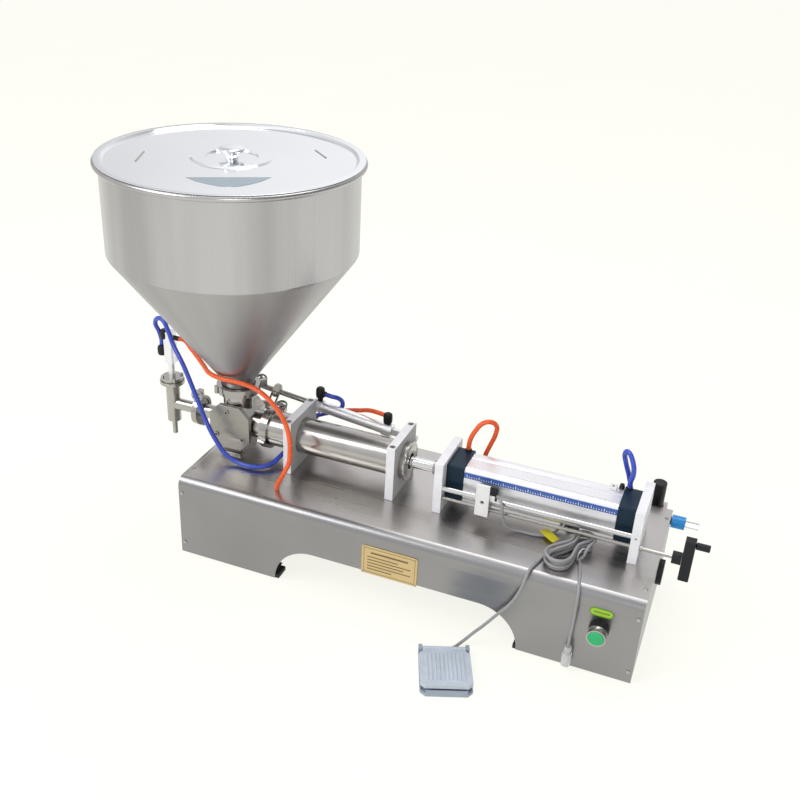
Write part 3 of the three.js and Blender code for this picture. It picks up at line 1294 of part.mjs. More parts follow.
function addHoses(machine, routes) {
  for (const [name, points] of Object.entries(routes)) {
    const colour = name.includes('blue') ? looks.blue : looks.orange;
    add(machine, name, sweep(points, hoseDiameter, sides.hose), colour);
  }
  for (const [name, points] of Object.entries(cableRoutes)) {
    add(machine, name, sweep(points, cableDiameter, sides.cable), looks.grey);
  }
  const centres = hankCentres();
  const hankTube = ringedTube(centres, cableDiameter / 2, sides.hank);
  add(machine, 'cable_hank', solid(hankTube), looks.grey);
  const gap = leastGap(centres, cableDiameter).toFixed(2);
  console.log('least gap of the cable hank to itself:', gap, 'mm');
  const [x, y, z] = cableRoutes.plug_cable.at(-1);
  const plugTop = z - fit;
  const neckLow = plugTop - plug.neckLong;
  const plugBody = join(
    rodZ(x, y, neckLow, plugTop, plug.neck, sides.pin),
    rodZ(x, y, plugTop - plug.long, neckLow + overrun, plug.radius),
  );
  add(machine, 'plug', plugBody, looks.grey);
}

// The whole machine, with its origin at the middle of its footprint on the floor
const whole = new THREE.Group();
const machine = group(whole);
const routes = hoseRoutes();
const hoseEnds = Object.values(routes).map((points) => points.at(-1));
addCabinet(machine, hoseEnds);
addStartButton(machine);
addRightEnd(machine);
addDeckPieces(machine);
addBrackets(machine);
addPump(machine);
addAirCylinder(machine);
addStrokeSetting(machine);
addValve(machine);
addActuator(machine);
addHopper(machine);
addNozzle(machine);
addFootSwitch(machine);
addHoses(machine, routes);

const bounds = new THREE.Box3().setFromObject(machine, true);
machine.position.set(-(bounds.min.x + bounds.max.x) / 2, -(bounds.min.y + bounds.max.y) / 2, 0);

export default whole;
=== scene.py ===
"""Looks of the piston paste filling machine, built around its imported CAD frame."""
import json
import math

import bmesh
import bpy
from mathutils import Matrix, Vector


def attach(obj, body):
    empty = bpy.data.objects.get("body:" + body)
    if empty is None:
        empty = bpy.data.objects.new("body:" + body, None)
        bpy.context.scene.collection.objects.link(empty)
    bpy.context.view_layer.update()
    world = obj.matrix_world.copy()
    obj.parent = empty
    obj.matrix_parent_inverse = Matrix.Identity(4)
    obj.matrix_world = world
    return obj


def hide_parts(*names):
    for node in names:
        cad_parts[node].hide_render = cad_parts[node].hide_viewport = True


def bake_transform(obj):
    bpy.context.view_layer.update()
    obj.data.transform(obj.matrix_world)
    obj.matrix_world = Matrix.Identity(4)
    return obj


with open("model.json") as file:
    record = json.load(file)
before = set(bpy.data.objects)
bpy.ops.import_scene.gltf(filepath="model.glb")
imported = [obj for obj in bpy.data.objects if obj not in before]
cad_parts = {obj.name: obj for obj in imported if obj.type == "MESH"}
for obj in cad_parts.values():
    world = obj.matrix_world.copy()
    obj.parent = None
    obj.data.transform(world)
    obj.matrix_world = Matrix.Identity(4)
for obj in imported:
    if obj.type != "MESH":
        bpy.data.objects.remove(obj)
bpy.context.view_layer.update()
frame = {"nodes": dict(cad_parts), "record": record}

# The cabinet's frame, in millimetres, has its origin at the cabinet's front left bottom corner
ORIGIN = (340.05, 98.68)
# Height and depth of the pump's axis, and the tilt of the slim air cylinder
PUMP_Y, PUMP_Z = 140, 203
TILT = math.radians(6.6)


def at(x, y, z):
    """A place in the cabinet's frame, in millimetres, as a point of the row frame in metres."""
    return Vector(((x - ORIGIN[0]) / 1000, (y - ORIGIN[1]) / 1000, z / 1000))


HOPPER_AXIS = at(40, PUMP_Y, 0)


# Camera, fitted to the photo
CAMERA_PLACE = (828.7, -1219.0, 1089.5)
CAMERA_TURNS = (-19.95, 28.276, 3.169)
CAMERA_LENS, CAMERA_SENSOR, CAMERA_REACH = 45.94, 36, 100


def add_camera():
    """The photo's camera."""
    yaw, pitch, roll = (math.radians(turn) for turn in CAMERA_TURNS)
    level = math.cos(pitch)
    forward = Vector((math.sin(yaw) * level, math.cos(yaw) * level, -math.sin(pitch)))
    right = Vector((math.cos(yaw), -math.sin(yaw), 0))
    up = right.cross(forward)
    across = right * math.cos(roll) + up * math.sin(roll)
    above = up * math.cos(roll) - right * math.sin(roll)
    camera = bpy.data.objects.new("camera", bpy.data.cameras.new("camera"))
    turn = Matrix((across, above, -forward)).transposed().to_4x4()
    camera.matrix_world = Matrix.Translation(at(*CAMERA_PLACE)) @ turn
    camera.data.sensor_width = CAMERA_SENSOR
    camera.data.lens = CAMERA_LENS
    camera.data.clip_end = CAMERA_REACH
    bpy.context.collection.objects.link(camera)
    bpy.context.scene.camera = camera


add_camera()


# Materials
class Shader:
    """A Principled material with a few helpers for its nodes."""

    def __init__(self, name, color, roughness, metallic=0.0, **sockets):
        self.material = bpy.data.materials.new(name)
        self.material.use_nodes = True
        self.tree = self.material.node_tree
        self.bsdf = self.tree.nodes["Principled BSDF"]
        self.set("Base Color", (*color, 1))
        self.set("Roughness", roughness)
        self.set("Metallic", metallic)
        for socket, value in sockets.items():
            self.set(socket.replace("_", " ").title().replace("Ior", "IOR"), value)

    def set(self, socket, value):
        self.bsdf.inputs[socket].default_value = value

    def node(self, kind, **values):
        made = self.tree.nodes.new(kind)
        for key, value in values.items():
            setattr(made, key, value)
        return made

    def link(self, source, target):
        self.tree.links.new(source, target)

    def place(self, scale=(1, 1, 1), rotation=(0, 0, 0), location=(0, 0, 0)):
        coordinates = self.node("ShaderNodeTexCoord")
        mapping = self.node("ShaderNodeMapping")
        mapping.inputs["Scale"].default_value = scale
        mapping.inputs["Rotation"].default_value = rotation
        mapping.inputs["Location"].default_value = location
        self.link(coordinates.outputs["Object"], mapping.inputs["Vector"])
        return mapping.outputs["Vector"]

    def around(self, centre, turns, rise):
        """Coordinates on a circle round an upright axis, with no seam, and the height along it."""
        coordinates = self.node("ShaderNodeTexCoord")
        shift = self.node("ShaderNodeVectorMath", operation="SUBTRACT")
        shift.inputs[1].default_value = centre
        self.link(coordinates.outputs["Object"], shift.inputs[0])
        flat = self.node("ShaderNodeVectorMath", operation="MULTIPLY")
        flat.inputs[1].default_value = (1, 1, 0)
        self.link(shift.outputs[0], flat.inputs[0])
        unit = self.node("ShaderNodeVectorMath", operation="NORMALIZE")
        self.link(flat.outputs[0], unit.inputs[0])
        wide = self.node("ShaderNodeVectorMath", operation="MULTIPLY")
        wide.inputs[1].default_value = (turns, turns, 0)
        self.link(unit.outputs[0], wide.inputs[0])
        high = self.node("ShaderNodeVectorMath", operation="MULTIPLY_ADD")
        high.inputs[1].default_value = (0, 0, rise)
        self.link(shift.outputs[0], high.inputs[0])
        self.link(wide.outputs[0], high.inputs[2])
        return high.outputs[0]

    def noise(self, vector, scale=1.0, detail=3.0, roughness=0.5):
        made = self.node("ShaderNodeTexNoise")
        made.inputs["Scale"].default_value = scale
        made.inputs["Detail"].default_value = detail
        made.inputs["Roughness"].default_value = roughness
        self.link(vector, made.inputs["Vector"])
        return made.outputs["Fac"]

    def spread(self, value, low, high, start=0.3, end=0.7):
        made = self.node("ShaderNodeMapRange")
        made.inputs["From Min"].default_value = start
        made.inputs["From Max"].default_value = end
        made.inputs["To Min"].default_value = low
        made.inputs["To Max"].default_value = high
        self.link(value, made.inputs["Value"])
        return made.outputs["Result"]

    def rough(self, value, low, high):
        self.link(self.spread(value, low, high), self.bsdf.inputs["Roughness"])

    def tint(self, value, dark, light, start=0.3, end=0.7):
        mix = self.node("ShaderNodeMix", data_type="RGBA")
        mix.inputs["A"].default_value = (*dark, 1)
        mix.inputs["B"].default_value = (*light, 1)
        self.link(self.spread(value, 0, 1, start, end), mix.inputs["Factor"])
        self.link(mix.outputs["Result"], self.bsdf.inputs["Base Color"])

    def bump(self, value, strength, distance=0.001):
        made = self.node("ShaderNodeBump")
        made.inputs["Strength"].default_value = strength
        made.inputs["Distance"].default_value = distance
        self.link(value, made.inputs["Height"])
        self.link(made.outputs["Normal"], self.bsdf.inputs["Normal"])


def brushed(name, color, low, high, stretch, strength):
    """Steel brushed along one direction: fine lines, with broad patches of wear."""
    shader = Shader(name, color, (low + high) / 2, 1.0)
    lines = shader.noise(shader.place(stretch), 1.0, 4, 0.6)
    patches = shader.noise(shader.place((6, 6, 6)), 1.0, 2)
    shader.rough(lines, low, high)
    shader.tint(patches, tuple(c * 0.9 for c in color), color)
    shader.bump(lines, strength, 0.0002)
    return shader.material


def rolled(name, dark, light, low, high, centre):
    """Sheet rolled round an upright axis: fine streaks along it, and soft broad bands of painted
    reflection in its colour.
    """
    shader = Shader(name, light, (low + high) / 2, 1.0)
    streaks = shader.noise(shader.around(centre, turns=70, rise=3), 1.0, 4, 0.6)
    painted_reflection_bands = shader.noise(shader.around(centre, turns=2.6, rise=0.6), 1.0, 2)
    shader.rough(streaks, low, high)
    # Painted reflection: broad lighter and darker bands round the axis
    shader.tint(painted_reflection_bands, dark, light, start=0.36, end=0.62)
    shader.bump(streaks, 0.1, 0.0002)
    return shader.material


def polished(name, color, low, high, scale=30):
    """Smooth metal: soft smears, slight colour variation."""
    shader = Shader(name, color, (low + high) / 2, 1.0)
    smears = shader.noise(shader.place((scale, scale, scale)), 1.0, 4)
    shader.rough(smears, low, high)
    shader.tint(smears, tuple(c * 0.93 for c in color), color)
    return shader.material


def coated(name, color, low, high, **sockets):
    """Paint or moulded plastic: a fine grain, slight colour variation."""
    shader = Shader(name, color, (low + high) / 2, 0.0, **sockets)
    grain = shader.noise(shader.place((1200, 1200, 1200)), 1.0, 2)
    cloud = shader.noise(shader.place((60, 60, 60)), 1.0, 3)
    shader.rough(cloud, low, high)
    shader.tint(cloud, tuple(c * 0.9 for c in color), color)
    shader.bump(grain, 0.15, 0.0001)
    return shader.material


looks = {
    # Painted light and shade: the cabinet's deck and walls are one brushed steel, given as a lighter
    # copy on the deck and a darker one on the walls
    "base": brushed("wall steel painted in shade", (0.315, 0.31, 0.315), 0.28, 0.36, (3, 200, 200), 0.02),
    "deck": brushed("deck steel painted in light", (0.58, 0.56, 0.54), 0.26, 0.34, (3, 200, 200), 0.02),
    "hopper": rolled("hopper steel", (0.38, 0.37, 0.375), (0.50, 0.49, 0.50), 0.2, 0.3, HOPPER_AXIS),
    "cone": rolled("cone steel", (0.33, 0.32, 0.325), (0.41, 0.40, 0.40), 0.3, 0.4, HOPPER_AXIS),
    "lid": polished("lid steel", (0.86, 0.88, 0.90), 0.1, 0.14, 3),
    # Painted reflection: a dark blue steel for a bow laid on the lid's top
    "crescent": polished("lid painted reflection", (0.36, 0.44, 0.50), 0.12, 0.2, 3),
    "polished": polished("polished steel", (0.46, 0.445, 0.425), 0.16, 0.26),
    "clamp": polished("clamp steel", (0.40, 0.385, 0.365), 0.10, 0.2),
    "cover": polished("cover steel", (0.37, 0.355, 0.325), 0.34, 0.46),
    "steel": polished("machined steel", (0.46, 0.445, 0.42), 0.2, 0.32),
    "chrome": polished("chromed rod", (0.74, 0.74, 0.74), 0.06, 0.12),
    "white": coated("white paint", (0.84, 0.84, 0.87), 0.38, 0.52),
    "side": coated("bracket side painted shade", (0.44, 0.435, 0.43), 0.4, 0.55),
    # Painted shade: a darker copy of the white paint for the brackets' right faces, for the shade on
    # that side
    "plate": coated("white plate", (0.80, 0.80, 0.80), 0.38, 0.5),
    "navy": coated("navy enamel", (0.006, 0.022, 0.042), 0.3, 0.42, specular_ior_level=0.22),
    "alloy": brushed("drawn aluminium", (0.93, 0.93, 0.95), 0.34, 0.46, (4, 300, 300), 0.05),
    "black": coated("black plastic", (0.008, 0.009, 0.012), 0.34, 0.48, specular_ior_level=0.3),
    "rubber": coated("black rubber", (0.02, 0.02, 0.02), 0.7, 0.9),
    "seal": coated("pale seal", (0.8, 0.78, 0.72), 0.5, 0.6),
    "plastic": coated("white plastic", (0.62, 0.63, 0.64), 0.35, 0.5),
    "blue": coated("blue hose", (0.035, 0.075, 0.50), 0.22, 0.34, subsurface_weight=0.05),
    "strip": coated("blue strip", (0.045, 0.12, 0.42), 0.3, 0.42),
    "orange": coated("orange hose", (0.86, 0.115, 0.02), 0.22, 0.34, subsurface_weight=0.05),
    "cable": coated("grey cable", (0.30, 0.30, 0.31), 0.42, 0.55),
    "green": coated("green button", (0.01, 0.42, 0.14), 0.2, 0.3),
    "pedal": coated("pedal plastic", (0.50, 0.56, 0.63), 0.42, 0.55),
    "tray": coated("switch tray", (0.32, 0.38, 0.46), 0.42, 0.55),
    "clear": coated("milky plastic", (0.86, 0.87, 0.88), 0.12, 0.2, transmission_weight=0.5),
    "cyan": coated("blue anodised", (0.01, 0.27, 0.68), 0.2, 0.3),
    "brass": polished("brass sheet", (0.66, 0.50, 0.26), 0.26, 0.38),
    "print": coated("dark print", (0.16, 0.11, 0.05), 0.4, 0.5),
    "lime": coated("lime label", (0.33, 0.60, 0.03), 0.35, 0.5),
    "moss": coated("label border", (0.12, 0.30, 0.02), 0.35, 0.5),
    "yellow": coated("yellow flag", (0.75, 0.66, 0.02), 0.35, 0.5),
    "red": coated("red ring", (0.5, 0.02, 0.015), 0.3, 0.4),
}


# Meshes
SAME_CORNER, SAME_CAD_CORNER, FLAT_ANGLE, BEVEL_ANGLE = 1e-6, 2e-6, math.radians(0.7), math.radians(32)


def finished(obj, material, body=None, smooth=35):
    """Gives a piece its look and smooth shading, and its body where it is given."""
    obj.data.materials.clear()
    obj.data.materials.append(looks[material])
    obj.data.shade_smooth()
    obj.data.set_sharp_from_angle(angle=math.radians(smooth))
    if obj.name not in bpy.context.collection.objects:
        bpy.context.collection.objects.link(obj)
    if body:
        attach(obj, body)
    return obj


def bevelled(obj, width):
    """Rounds the sharp edges of a piece by a width in millimetres."""
    made = obj.modifiers.new("bevel", "BEVEL")
    made.width = width / 1000
    made.segments = 2
    made.limit_method = "ANGLE"
    made.angle_limit = BEVEL_ANGLE
    made.harden_normals = True
    return obj


def mesh_of(name, verts, faces):
    """A mesh object with its double corners joined and its faces turned outwards."""
    mesh = bpy.data.meshes.new(name)
    mesh.from_pydata([tuple(v) for v in verts], [], faces)
    mesh.validate()
    work = bmesh.new()
    work.from_mesh(mesh)
    bmesh.ops.remove_doubles(work, verts=work.verts, dist=SAME_CORNER)
    bmesh.ops.recalc_face_normals(work, faces=work.faces)
    work.to_mesh(mesh)
    work.free()
    return bpy.data.objects.new(name, mesh)


def dressed(node, material, body, bevel):
    """A copy of a CAD node with its flat faces whole, its edges rounded and a real material."""
    source = frame["nodes"][node]
    mesh = source.data.copy()
    work = bmesh.new()
    work.from_mesh(mesh)
    bmesh.ops.remove_doubles(work, verts=work.verts, dist=SAME_CAD_CORNER)
    bmesh.ops.dissolve_limit(work, angle_limit=FLAT_ANGLE, verts=work.verts, edges=work.edges)
    work.to_mesh(mesh)
    work.free()
    obj = bpy.data.objects.new(node + "_dress", mesh)
    finished(obj, material, smooth=38)
    bevelled(obj, bevel)
    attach(obj, body)
    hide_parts(node)
    return obj


def lathe(name, profile, centre, segments=96, axis="z"):
    """Turns a closed profile of (radius, place along the axis), in millimetres, about an axis."""
    verts, faces = [], []
    count = len(profile)
    for i in range(segments):
        angle = math.tau * i / segments
        for radius, along in profile:
            a, b = radius * math.cos(angle), radius * math.sin(angle)
            offset = (along, a, b) if axis == "x" else (a, b, along)
            verts.append(centre + Vector(offset) / 1000)
    for i in range(segments):
        j = (i + 1) % segments
        for k in range(count):
            m = (k + 1) % count
            faces.append((i * count + k, j * count + k, j * count + m, i * count + m))
    return mesh_of(name, verts, faces)


BODIES = frame["record"]["behaviour"]["bodies"]
BODY_OF = {node: body for body, nodes in BODIES.items() for node in nodes}

# Each dressed node's look, and the rounding of its edges in millimetres
DRESS = {
    "base_cabinet": ("base", 0.5), "left_end_plate": ("base", 0.4), "right_end_plate": ("base", 0.4),
    "rubber_foot_1": ("rubber", 1), "rubber_foot_2": ("rubber", 1), "rubber_foot_3": ("rubber", 1),
    "rubber_foot_4": ("rubber", 1), "start_button_bezel": ("polished", 0.4),
    "start_button": ("green", 0.3), "side_knob": ("black", 0.5), "inlet_valve": ("cyan", 0.8),
    "filter_regulator": ("plastic", 1), "cable_grommet": ("black", 0.6),
    "air_valve_block": ("alloy", 0.6),
    "bracket_1_base": ("white", 0.9), "bracket_1_cap": ("white", 0.9), "bracket_2_base": ("white", 0.9),
    "bracket_2_cap": ("white", 0.9), "bracket_3": ("white", 0.9), "bracket_4": ("white", 0.9),
    "material_cylinder": ("polished", 0.3), "material_piston": ("steel", 0.4),
    "piston_seal": ("seal", 0.3),
    "piston_rod": ("chrome", 0.4), "air_piston_rod": ("chrome", 0.4), "cylinder_clamp": ("clamp", 0.4),
    "air_front_cap": ("navy", 0.6), "air_rear_cap": ("navy", 0.6), "air_barrel": ("alloy", 0.2),
    "guide_rod": ("chrome", 0.3), "lead_screw": ("steel", 0.3), "crank_handle": ("black", 4),
    "crank_grip": ("black", 1.6), "sensor_carriage": ("steel", 0.5), "valve_body": ("polished", 0.6),
    "valve_cover": ("cover", 0.8), "valve_rotor": ("steel", 0.4), "valve_lever": ("steel", 0.6),
    "actuator_cylinder": ("alloy", 0.4), "actuator_rod": ("steel", 0.4), "hopper_clamp": ("clamp", 0.4),
    "nozzle_body": ("steel", 0.4), "nozzle_cylinder": ("alloy", 0.3), "shutoff_plunger": ("steel", 0.3),
    "outlet_clamp": ("clamp", 0.4), "foot_switch_base": ("tray", 0.7), "foot_pedal": ("pedal", 0.6),
    "plug": ("clear", 0.8),
}
dress = {node: dressed(node, look, BODY_OF[node], bevel) for node, (look, bevel) in DRESS.items()}


def repaint(nodes, material, test):
    """Gives a second look to the faces of dressed nodes whose middle passes a test."""
    for node in nodes:
        mesh = dress[node].data
        mesh.materials.append(looks[material])
        index = len(mesh.materials) - 1
        for face in mesh.polygons:
            x, y, z = face.center
            if test(x * 1000 + ORIGIN[0], y * 1000 + ORIGIN[1], z * 1000):
                face.material_index = index


# The split brackets: their cap screws' distance from the pump's axis, and their right faces, which take
# a painted shade
CAP_SCREW_ASIDE = 41.3
BRACKET_1_RIGHT, BRACKET_2_RIGHT = 164.3, 349.5
# Nodes, their second look, and where in the cabinet's frame their faces take it
SECOND_LOOKS = [
    (("bracket_1_cap", "bracket_2_cap"), "clamp",
     lambda x, y, z: z > 243.8 and abs(abs(y - PUMP_Y) - CAP_SCREW_ASIDE) < 4.6),
    (("air_front_cap", "air_rear_cap"), "black", lambda x, y, z: z > 234.2),
    (("nozzle_cylinder",), "black", lambda x, y, z: abs(x + 93) > 9.2 and z > 283),
    (("nozzle_cylinder",), "steel", lambda x, y, z: z < 260),
    (("actuator_cylinder",), "black", lambda x, y, z: z - (237.0 - (x - 82.0) * math.tan(TILT)) > 12.4),
    (("inlet_valve",), "chrome", lambda x, y, z: x > 805.4 or x < 785.2),
    (("filter_regulator",), "black", lambda x, y, z: z > 130.2),
    (("filter_regulator",), "clear", lambda x, y, z: z < 85.8),
    (("lead_screw",), "black", lambda x, y, z: x > 797.5),
    (("piston_rod",), "clamp", lambda x, y, z: x > 396),
    # Painted light: the deck's faces take the lighter copy of the cabinet's steel
    (("base_cabinet",), "deck", lambda x, y, z: z > 149.4),
    (("base_cabinet",), "polished", lambda x, y, z: z > 150.1 or y < -0.1),
    (("sensor_carriage",), "plate", lambda x, y, z: y < 88.1),
    (("sensor_carriage",), "black", lambda x, y, z: y > 88.1 and 201.3 < z < 211.5),
    (("start_button_bezel",), "black", lambda x, y, z: y > -15.2),
    # Painted shade: the right faces of the split brackets take the darker copy of their white paint
    (("bracket_1_base", "bracket_1_cap"), "side", lambda x, y, z: x > BRACKET_1_RIGHT - 0.05),
    (("bracket_2_base", "bracket_2_cap"), "side", lambda x, y, z: x > BRACKET_2_RIGHT - 0.05),
]
for second_nodes, second_look, second_test in SECOND_LOOKS:
    repaint(second_nodes, second_look, second_test)


# Cords
def spline(name, points, diameter, material):
    """A round cord along points of the row frame, as a curve of one open spline."""
    curve = bpy.data.curves.new(name, "CURVE")
    curve.dimensions = "3D"
    curve.bevel_depth = diameter / 2000
    curve.bevel_resolution = 4
    curve.resolution_u = 6
    curve.use_fill_caps = True
    made = curve.splines.new("BEZIER")
    made.bezier_points.add(len(points) - 1)
    for knot, place in zip(made.bezier_points, points):
        knot.co = place
        knot.handle_left_type = knot.handle_right_type = "AUTO"
    obj = bpy.data.objects.new(name, curve)
    curve.materials.append(looks[material])
    bpy.context.collection.objects.link(obj)
    return obj


# Outside diameters, the deck's top and the middle of a cable that lies on it
HOSE = 8.0
CABLE = 5.0
ONDECK = 150.3
LAID = ONDECK + CABLE / 2 + 0.15
# The slim air cylinder: its pin at rest, the ends of its barrel along its axis and its ports
PIN = (81.978, 204.5, 237.016)
BARREL_START, BARREL_END = 71.7, 220.8
CAP_HALF, PORT_IN, PORT_RISE = 10, 9, 26
NEAR, FAR = BARREL_START + CAP_HALF + PORT_IN, BARREL_END - CAP_HALF - PORT_IN


def slim_port(mouth, way, distance):
    """A place before the mouth of one of the slim air cylinder's ports."""
    along = Vector((math.cos(TILT), 0, -math.sin(TILT)))
    up = Vector((math.sin(TILT), 0, math.cos(TILT)))
    return tuple(Vector(PIN) + along * (mouth + way * distance) + up * PORT_RISE)


# Each hose's look and its route from its fitting to the deck
HOSES = {
    "hose_blue_nozzle": ("blue", [
        (-110, 140, 314.3), (-110, 140, 323.3), (-113, 138, 340), (-116, 134, 354), (-109, 130, 367),
        (-95, 125, 369), (-81, 118, 356), (-67, 110, 336), (-37, 92, 311), (-13, 86, 265), (9, 82, 218),
        (28, 80, 187), (46, 79, 166), (67, 77.6, 157), (95, 76.4, 156), (114, 83, 157), (126, 97, 159),
        (131, 112, 164), (134, 127, 167), (136, 141, 163), (136, 148, 155), (136, 148, ONDECK)]),
    "hose_orange_nozzle": ("orange", [
        (-73.7, 140, 332), (-64.7, 140, 332), (-46, 133, 322), (-15, 118, 306), (8, 100, 303),
        (36, 92, 303), (72, 92, 303), (102, 86, 302), (122, 82, 296), (142, 76, 285), (159, 70, 272),
        (170, 65, 258), (179, 58, 237), (182, 53, 221), (182, 49, 202), (175, 45, 183), (166, 43, 163),
        (163, 43, 155), (163, 43, ONDECK)]),
    "hose_blue_actuator": ("blue", [
        slim_port(NEAR, 1, 0.3), slim_port(NEAR, 1, 9.3), (196, 213.5, 245), (200, 220.5, 234),
        (196, 223, 222), (182, 223, 211), (161, 220.5, 202), (140, 214, 192), (128, 209, 178),
        (125, 208, 163), (125, 208, ONDECK)]),
    "hose_orange_actuator": ("orange", [
        slim_port(FAR, -1, 0.3), slim_port(FAR, -1, 9.3), (257, 210.5, 238), (233, 221.5, 227),
        (210, 230.5, 217), (187, 234.5, 208), (163, 235, 201), (147, 232, 190), (141, 226, 176),
        (140, 223, 163), (140, 223, ONDECK)]),
    "hose_orange_barrel": ("orange", [
        (450, 165, 237.3), (450, 165, 246.3), (452, 166, 258), (458, 170, 272), (466, 175, 283),
        (477, 181, 286), (486, 188, 278), (485, 193, 258), (478, 195, 236), (471, 196, 214),
        (468, 196, 190), (468, 196, 164), (468, 196, ONDECK)]),
    "hose_blue_barrel": ("blue", [
        (712.7, 165, 237.3), (712.7, 165, 246.3), (715, 166, 262), (710, 170, 281), (701, 177, 291),
        (695, 186, 283), (699, 191, 262), (706, 195, 240), (712, 197, 216), (713, 197, 190),
        (713, 197, 164), (713, 197, ONDECK)]),
}
# Routes of the cables: the reed sensor's, the foot switch's and the plug's
SENSOR = [
    (520.9, 94, 206.5), (524.5, 94, 206.5), (530, 89.5, 204), (533.5, 86, 197), (535, 85.3, 187),
    (538.5, 86, 173), (547, 90, 158.5), (565, 97, LAID), (582, 97, LAID), (600, 101, LAID),
    (614, 114, LAID), (621, 130, 158), (627, 141, 166), (633, 145, 163), (633, 145, 153.6)]
FOOT = [
    (612, 39, LAID), (608, 24, LAID), (605, 10, 153), (603, 0, 149), (601, -6, 138), (597, -8, 122),
    (585, -8, 93), (566, -9, 65), (547, -10, 37), (534, -13, 21), (524.5, -19.5, 10.5),
    (516.4, -29.8, 4.8), (511.75, -38.55, 4)]
PLUG = [
    (668, 66, LAID), (671, 52, LAID), (677, 24, LAID), (679, 12, 153.5), (681, 2, 150),
    (682.5, -5, 140), (683, -8.5, 120), (682.5, -9, 90), (681, -9, 62), (681, -9, 46)]

# The hank of cable, by the same formula as its solid: two straight sides that narrow at the tie
HANK_PLACE, HANK_TURN = (650, 67), math.radians(65)
HANK_HEAD, HANK_TAIL, HANK_TIE = -27, 36, 18
HEAD_RADIUS, TAIL_RADIUS, TIE_HALF = 14.5, 8.5, 3
QUARTER, LOOP, FIRST_STATION = 6, 24, 2
LOOPS, EXTRA_STEPS, LAYERS, RISE_STEPS = 4, 10, (1, 2, 3), 4
STRAND_PITCH, LAYER_HEIGHT = 6, 5.6


def hank_half(along):
    """Half the hank's width at a place along it."""
    def ease(share):
        return (1 - math.cos(math.pi * min(1, max(0, share)))) / 2
    if along < HANK_TIE:
        share = (along - HANK_HEAD) / (HANK_TIE - HANK_HEAD)
        return HEAD_RADIUS + (TIE_HALF - HEAD_RADIUS) * ease(share)
    share = (along - HANK_TIE) / (HANK_TAIL - HANK_TIE)
    return TIE_HALF + (TAIL_RADIUS - TIE_HALF) * ease(share)


def hank_station(index, offset):
    """The place along and across the hank of a numbered station of its loop."""
    part = (index % LOOP) // QUARTER
    share = ((index % LOOP) % QUARTER) / QUARTER
    run = HANK_TAIL - HANK_HEAD
    going, back = HANK_HEAD + run * share, HANK_TAIL - run * share
    if part == 0:
        return going, hank_half(going) + offset
    if part == 2:
        return back, -hank_half(back) - offset
    if part == 1:
        middle, radius, start = HANK_TAIL, TAIL_RADIUS + offset, 90
    else:
        middle, radius, start = HANK_HEAD, HEAD_RADIUS + offset, -90
    angle = math.radians(start - 180 * share)
    return middle + radius * math.cos(angle), radius * math.sin(angle)


def hank_place(along, across, height):
    """A place on the hank in the cabinet's frame."""
    x = HANK_PLACE[0] + along * math.cos(HANK_TURN) - across * math.sin(HANK_TURN)
    y = HANK_PLACE[1] + along * math.sin(HANK_TURN) + across * math.cos(HANK_TURN)
    return x, y, LAID + height


def hank_loops():
    """The cable's route round the hank, each loop one layer higher."""
    places = []
    for step in range(LOOPS * LOOP + EXTRA_STEPS + 1):
        loops = step / LOOP
        offset = STRAND_PITCH * (loops - 3 if loops > 3 else abs(loops % 2 - 1))
        height = sum(min(1, max(0, (step - layer * LOOP) / RISE_STEPS + 0.5)) for layer in LAYERS)
        places.append(hank_place(*hank_station(FIRST_STATION + step, offset), LAYER_HEIGHT * height))
    return places


def foot_line():
    """The whole cable's route from the foot switch through the hank to the plug."""
    ways_in = [hank_place(*p) for p in ((-28, 24, 0), (-17, 22.5, 0))]
    ways_out = [hank_place(*p) for p in ((27, -17, 15), (18, -18, 9.5), (11.5, -18.5, 3))]
    return [*reversed(FOOT), *ways_in, *hank_loops(), *ways_out, *PLUG]


def add_cord(name, points, diameter, material, nodes):
    """A cord that stays with the machine and stands for the nodes of its solids."""
    places = [at(*p) for p in points]
    obj = spline(name, places, diameter, material)
    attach(obj, "machine")
    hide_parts(*nodes)


def curve_mesh(obj):
    """A curve's mesh as it is drawn: a tube, or its line alone without thickness."""
    bpy.context.view_layer.update()
    drawn = obj.evaluated_get(bpy.context.evaluated_depsgraph_get())
    return bpy.data.meshes.new_from_object(drawn)


def add_sensor_cable():
    """The reed sensor's cable as a mesh tube."""
    places = [at(*p) for p in SENSOR]
    curve = spline("sensor_cable_line", places, CABLE, "cable")
    tube = curve_mesh(curve)
    curve.data.bevel_depth = 0
    line = [vertex.co.copy() for vertex in curve_mesh(curve).vertices]
    bpy.data.objects.remove(curve)
    obj = finished(bpy.data.objects.new("sensor_cable_dress", tube), "cable")
    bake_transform(obj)
    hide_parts("sensor_cable")


for hose_name, (hose_look, hose_points) in HOSES.items():
    add_cord(hose_name + "_dress", hose_points, HOSE, hose_look, [hose_name])
add_sensor_cable()
add_cord("foot_cable_dress", foot_line(), CABLE, "cable",
         ["foot_cable", "cable_hank", "plug_cable"])


# Pieces made of corners and faces
def prism(outline, low, thick):
    """Corners and faces of an upright prism on an outline, in millimetres."""
    verts = [at(x, y, low + lift) for lift in (0, thick) for x, y in outline]
    count = len(outline)
    faces = [tuple(reversed(range(count))), tuple(range(count, 2 * count))]
    faces += [(i, (i + 1) % count, count + (i + 1) % count, count + i) for i in range(count)]
    return verts, faces


def bar_on(start, end, wide, low, thick):
    """Corners and faces of a flat bar between two places."""
    dx, dy = end[0] - start[0], end[1] - start[1]
    long = math.hypot(dx, dy)
    ax, ay = -dy / long * wide / 2, dx / long * wide / 2
    return prism([(start[0] - ax, start[1] - ay), (end[0] - ax, end[1] - ay),
                  (end[0] + ax, end[1] + ay), (start[0] + ax, start[1] + ay)], low, thick)


